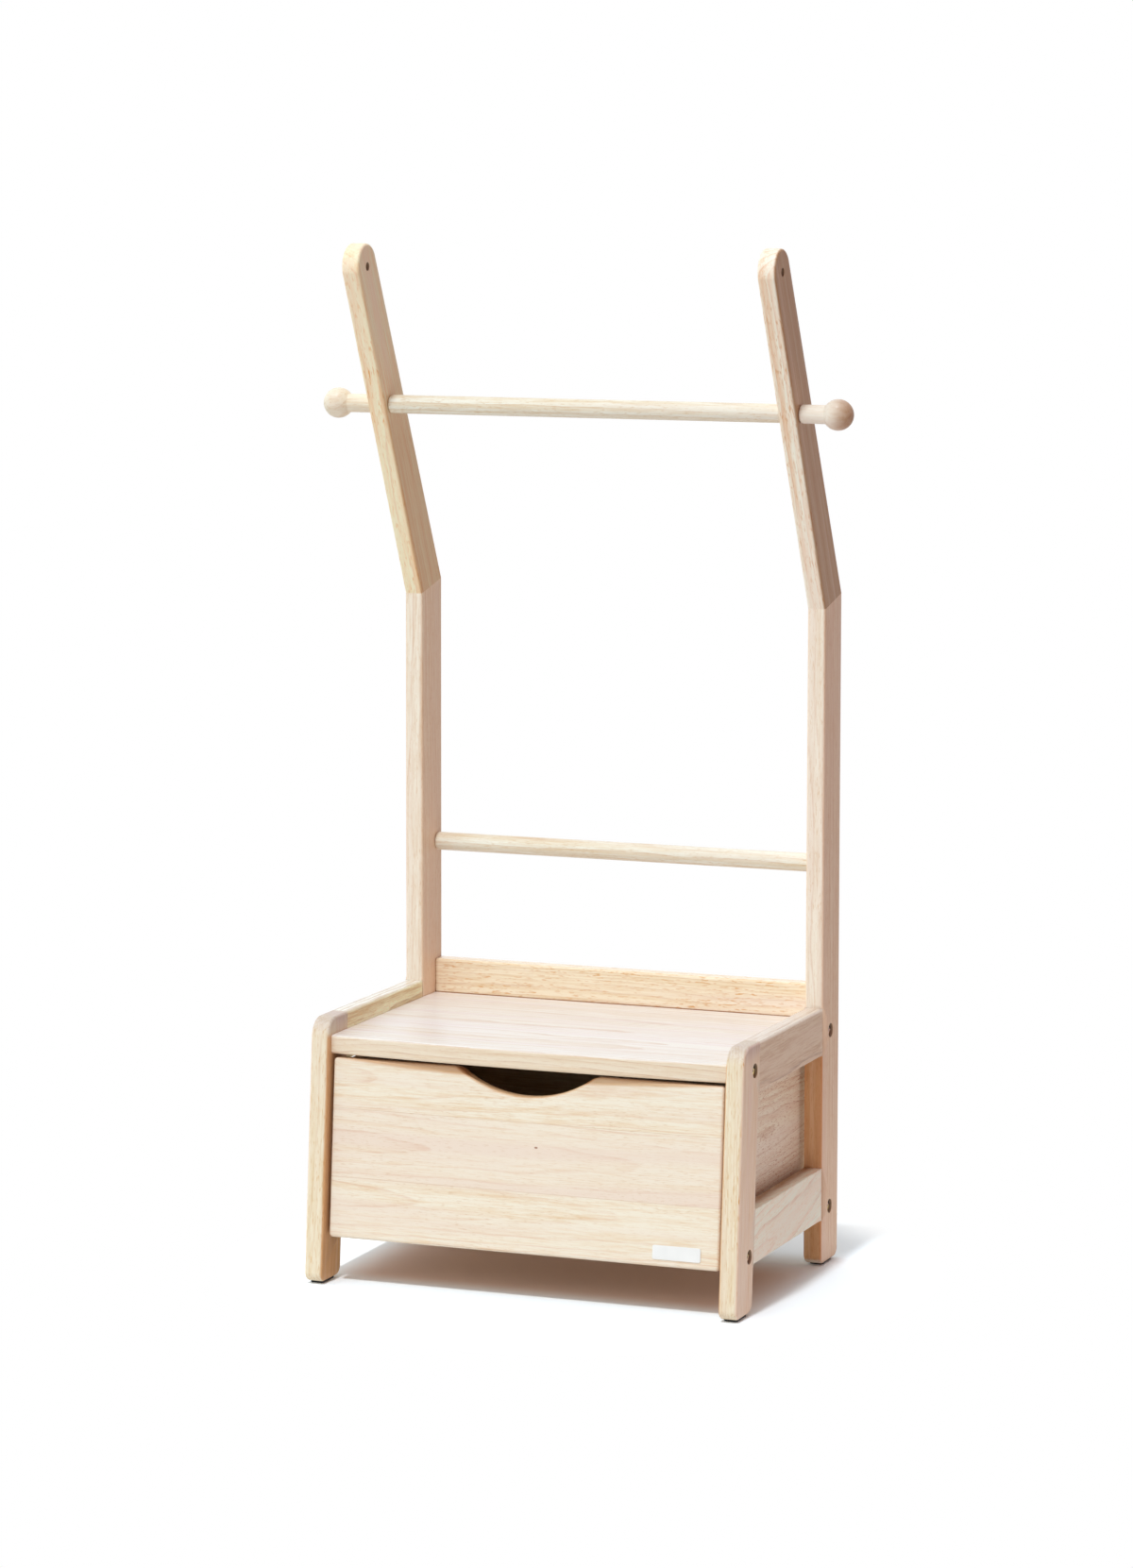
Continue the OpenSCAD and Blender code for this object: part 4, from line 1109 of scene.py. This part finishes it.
def make_pads():
    glide = glide_plastic()
    half_w, half_l = PAD_HALF
    shape = rounded_rectangle(-half_w, -half_l, half_w, half_l, PAD_CORNER_R, PAD_EDGE)
    leg_mid = (leg_front(TOE_Z) + leg_rear(TOE_Z)) / 2
    places = [(side * MID_X, y) for side in SIDES.values() for y in (leg_mid, POST_MID)]
    pads = [board(f"pad_{i}", shape, PAD_T, lying(PAD_T / 2, x, y), "frame", glide)
            for i, (x, y) in enumerate(places)]
    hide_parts("foot_pads")


def dress_hidden_wood():
    dowel = wood("dowel_wood_bare", (1, 0, 0), (0, 0, 1), (0, 0, 0), (3, -8), 17.3, pale=(216, 184, 142),
                 deep=(190, 152, 108), rough=0.62)
    for node in ("frame_dowels", "cross_dowels", "box_dowels"):
        dress(node, dowel)
    batten = wood("runner_wood", (0, 1, 0), (1, 0, 0), (0, 0, 66), (8, 20), 18.8)
    for node in ("runner_left", "runner_right"):
        dress(node, batten)
    dress("box_stops", wood("stop_wood", (1, 0, 0), (0, 0, 1), (0, 131, 78), (10, 14), 19.4))


# Stage, light and camera

# What the camera sees of the floor turns to white paper away from the rack
FLOOR_CENTRE = (0.0, 20.0)
FLOOR_FADE = (305.0, 395.0)
FLOOR_SEEN = (1.05, 1.1, 1.17)
# Painted warm shade on the floor under the box, in place of the light thrown down by the wood above it
UNDER_BOX_SHADE = (0.82, 0.58, 0.48)
UNDER_BOX_SHADE_X = (180.0, 275.0)
UNDER_BOX_SHADE_Y = (-145.0, -85.0)
UNDER_BOX_SHADE_REAR = (40.0, 150.0)
# The paper that throws light back on the rack lies round it and in front of it
BRIGHT_CENTRE = (100.0, -950.0)
BRIGHT_FADE = (1150.0, 1900.0)
FLOOR_BOUNCE = (0.84, 0.82, 0.8)
FLOOR_FAR = (0.1, 0.1, 0.1)
FLOOR_RADIUS = 2600.0
# The lamp: the way its light travels, strength, colour, softness in degrees
LAMP_WAY = (0.04, 0.52, -1.0)
LAMP_STRENGTH = 1.62
LAMP_COLOUR = (0.9, 0.98, 1.0)
LAMP_SOFTNESS = 3.5
# Studio: pale all round, and a warmer wall on the right
SKY = (0.97, 1.07, 1.08)
WARM_WALL = (0.34, 0.23, 0.2)
WALL_FROM = (-0.1, 0.55)


def make_floor():
    """Disc whose rings widen outwards, flat at z = 0."""
    rings = np.concatenate([[0.0], np.linspace(0.15, 1, 12) ** 1.5]) * FLOOR_RADIUS * MM
    turn = full_turn(TURN_STEPS)
    x = rings[:, None] * np.cos(turn)
    y = rings[:, None] * np.sin(turn)
    points = np.stack([x, y, np.zeros(x.shape)], axis=2)
    mesh = bpy.data.meshes.new("pale_floor")
    mesh.from_pydata(points.reshape(-1, 3).tolist(), [], grid_faces(len(rings), len(turn)))
    work = bmesh.new()
    work.from_mesh(mesh)
    bmesh.ops.remove_doubles(work, verts=work.verts, dist=1e-6)
    for face in work.faces:
        if face.normal.z < 0:
            face.normal_flip()
    work.to_mesh(mesh)
    work.free()
    floor = bpy.data.objects.new("pale_floor", mesh)
    bpy.context.scene.collection.objects.link(floor)
    mesh.materials.append(floor_finish())


def make_light():
    """One soft sun, and a studio that the camera sees as plain white."""
    lamp = bpy.data.lights.new("key_light", "SUN")
    lamp.energy = LAMP_STRENGTH
    lamp.color = LAMP_COLOUR
    lamp.angle = math.radians(LAMP_SOFTNESS)
    placed = bpy.data.objects.new("key_light", lamp)
    placed.rotation_euler = Vector(LAMP_WAY).to_track_quat("-Z", "Y").to_euler()
    bpy.context.scene.collection.objects.link(placed)
    world = bpy.data.worlds.new("studio")
    bpy.context.scene.world = world
    s = Shader(world)
    seen = s.seen()
    split = s.node("ShaderNodeSeparateXYZ", None, {0: s.coordinates.outputs["Generated"]})
    wall = Value(s, split.outputs["X"]).smooth(*WALL_FROM)
    sky = s.node("ShaderNodeBackground", None, {"Color": s.mix(wall, SKY, WARM_WALL), "Strength": 1.0})
    white = s.node("ShaderNodeBackground", None, {"Color": (1, 1, 1, 1), "Strength": 1.0})
    both = s.node("ShaderNodeMixShader", None, {0: seen, 1: sky.outputs[0], 2: white.outputs[0]})
    s.node("ShaderNodeOutputWorld", None, {"Surface": both.outputs[0]})


# The camera: its turns in degrees, its place in mm, and its lens in pixels of the 1200 by 1661 picture. The
# lens axis meets the picture in row AXIS_ROW
CAMERA_YAW = 21.309
CAMERA_PITCH = 5.6333
CAMERA_ROLL = -0.0977
CAMERA_AT = (1907.69, -4916.40, 1239.72)
FOCAL_PX = 5289.25
AXIS_ROW = 640.0
PICTURE = (1200, 1661)
SENSOR = 36.0


def make_camera():
    """Camera at the photograph's viewing angle; the picture's centre lies below the lens axis."""
    yaw, pitch, roll = (math.radians(k) for k in (CAMERA_YAW, CAMERA_PITCH, CAMERA_ROLL))
    ahead = np.array([-math.sin(yaw) * math.cos(pitch), math.cos(yaw) * math.cos(pitch), -math.sin(pitch)])
    right = np.array([math.cos(yaw), math.sin(yaw), 0.0])
    down = np.cross(ahead, right)
    across = math.cos(roll) * right + math.sin(roll) * down
    low = -math.sin(roll) * right + math.cos(roll) * down
    data = bpy.data.cameras.new("camera")
    data.sensor_width = SENSOR
    data.lens = FOCAL_PX * SENSOR / PICTURE[1]
    data.shift_y = (AXIS_ROW - PICTURE[1] / 2) / PICTURE[1]
    data.clip_end = 100.0
    camera = bpy.data.objects.new("camera", data)
    turn = Matrix((across, -low, -ahead)).transposed().to_4x4()
    camera.matrix_world = Matrix.Translation(Vector(CAMERA_AT) * MM) @ turn
    bpy.context.scene.collection.objects.link(camera)
    bpy.context.scene.camera = camera


make_side_frames()
make_bench()
make_stretchers()
make_rods()
make_box()
make_fasteners()
make_pads()
dress_hidden_wood()
make_floor()
make_light()
make_camera()
bpy.context.scene.view_settings.view_transform = "Standard"
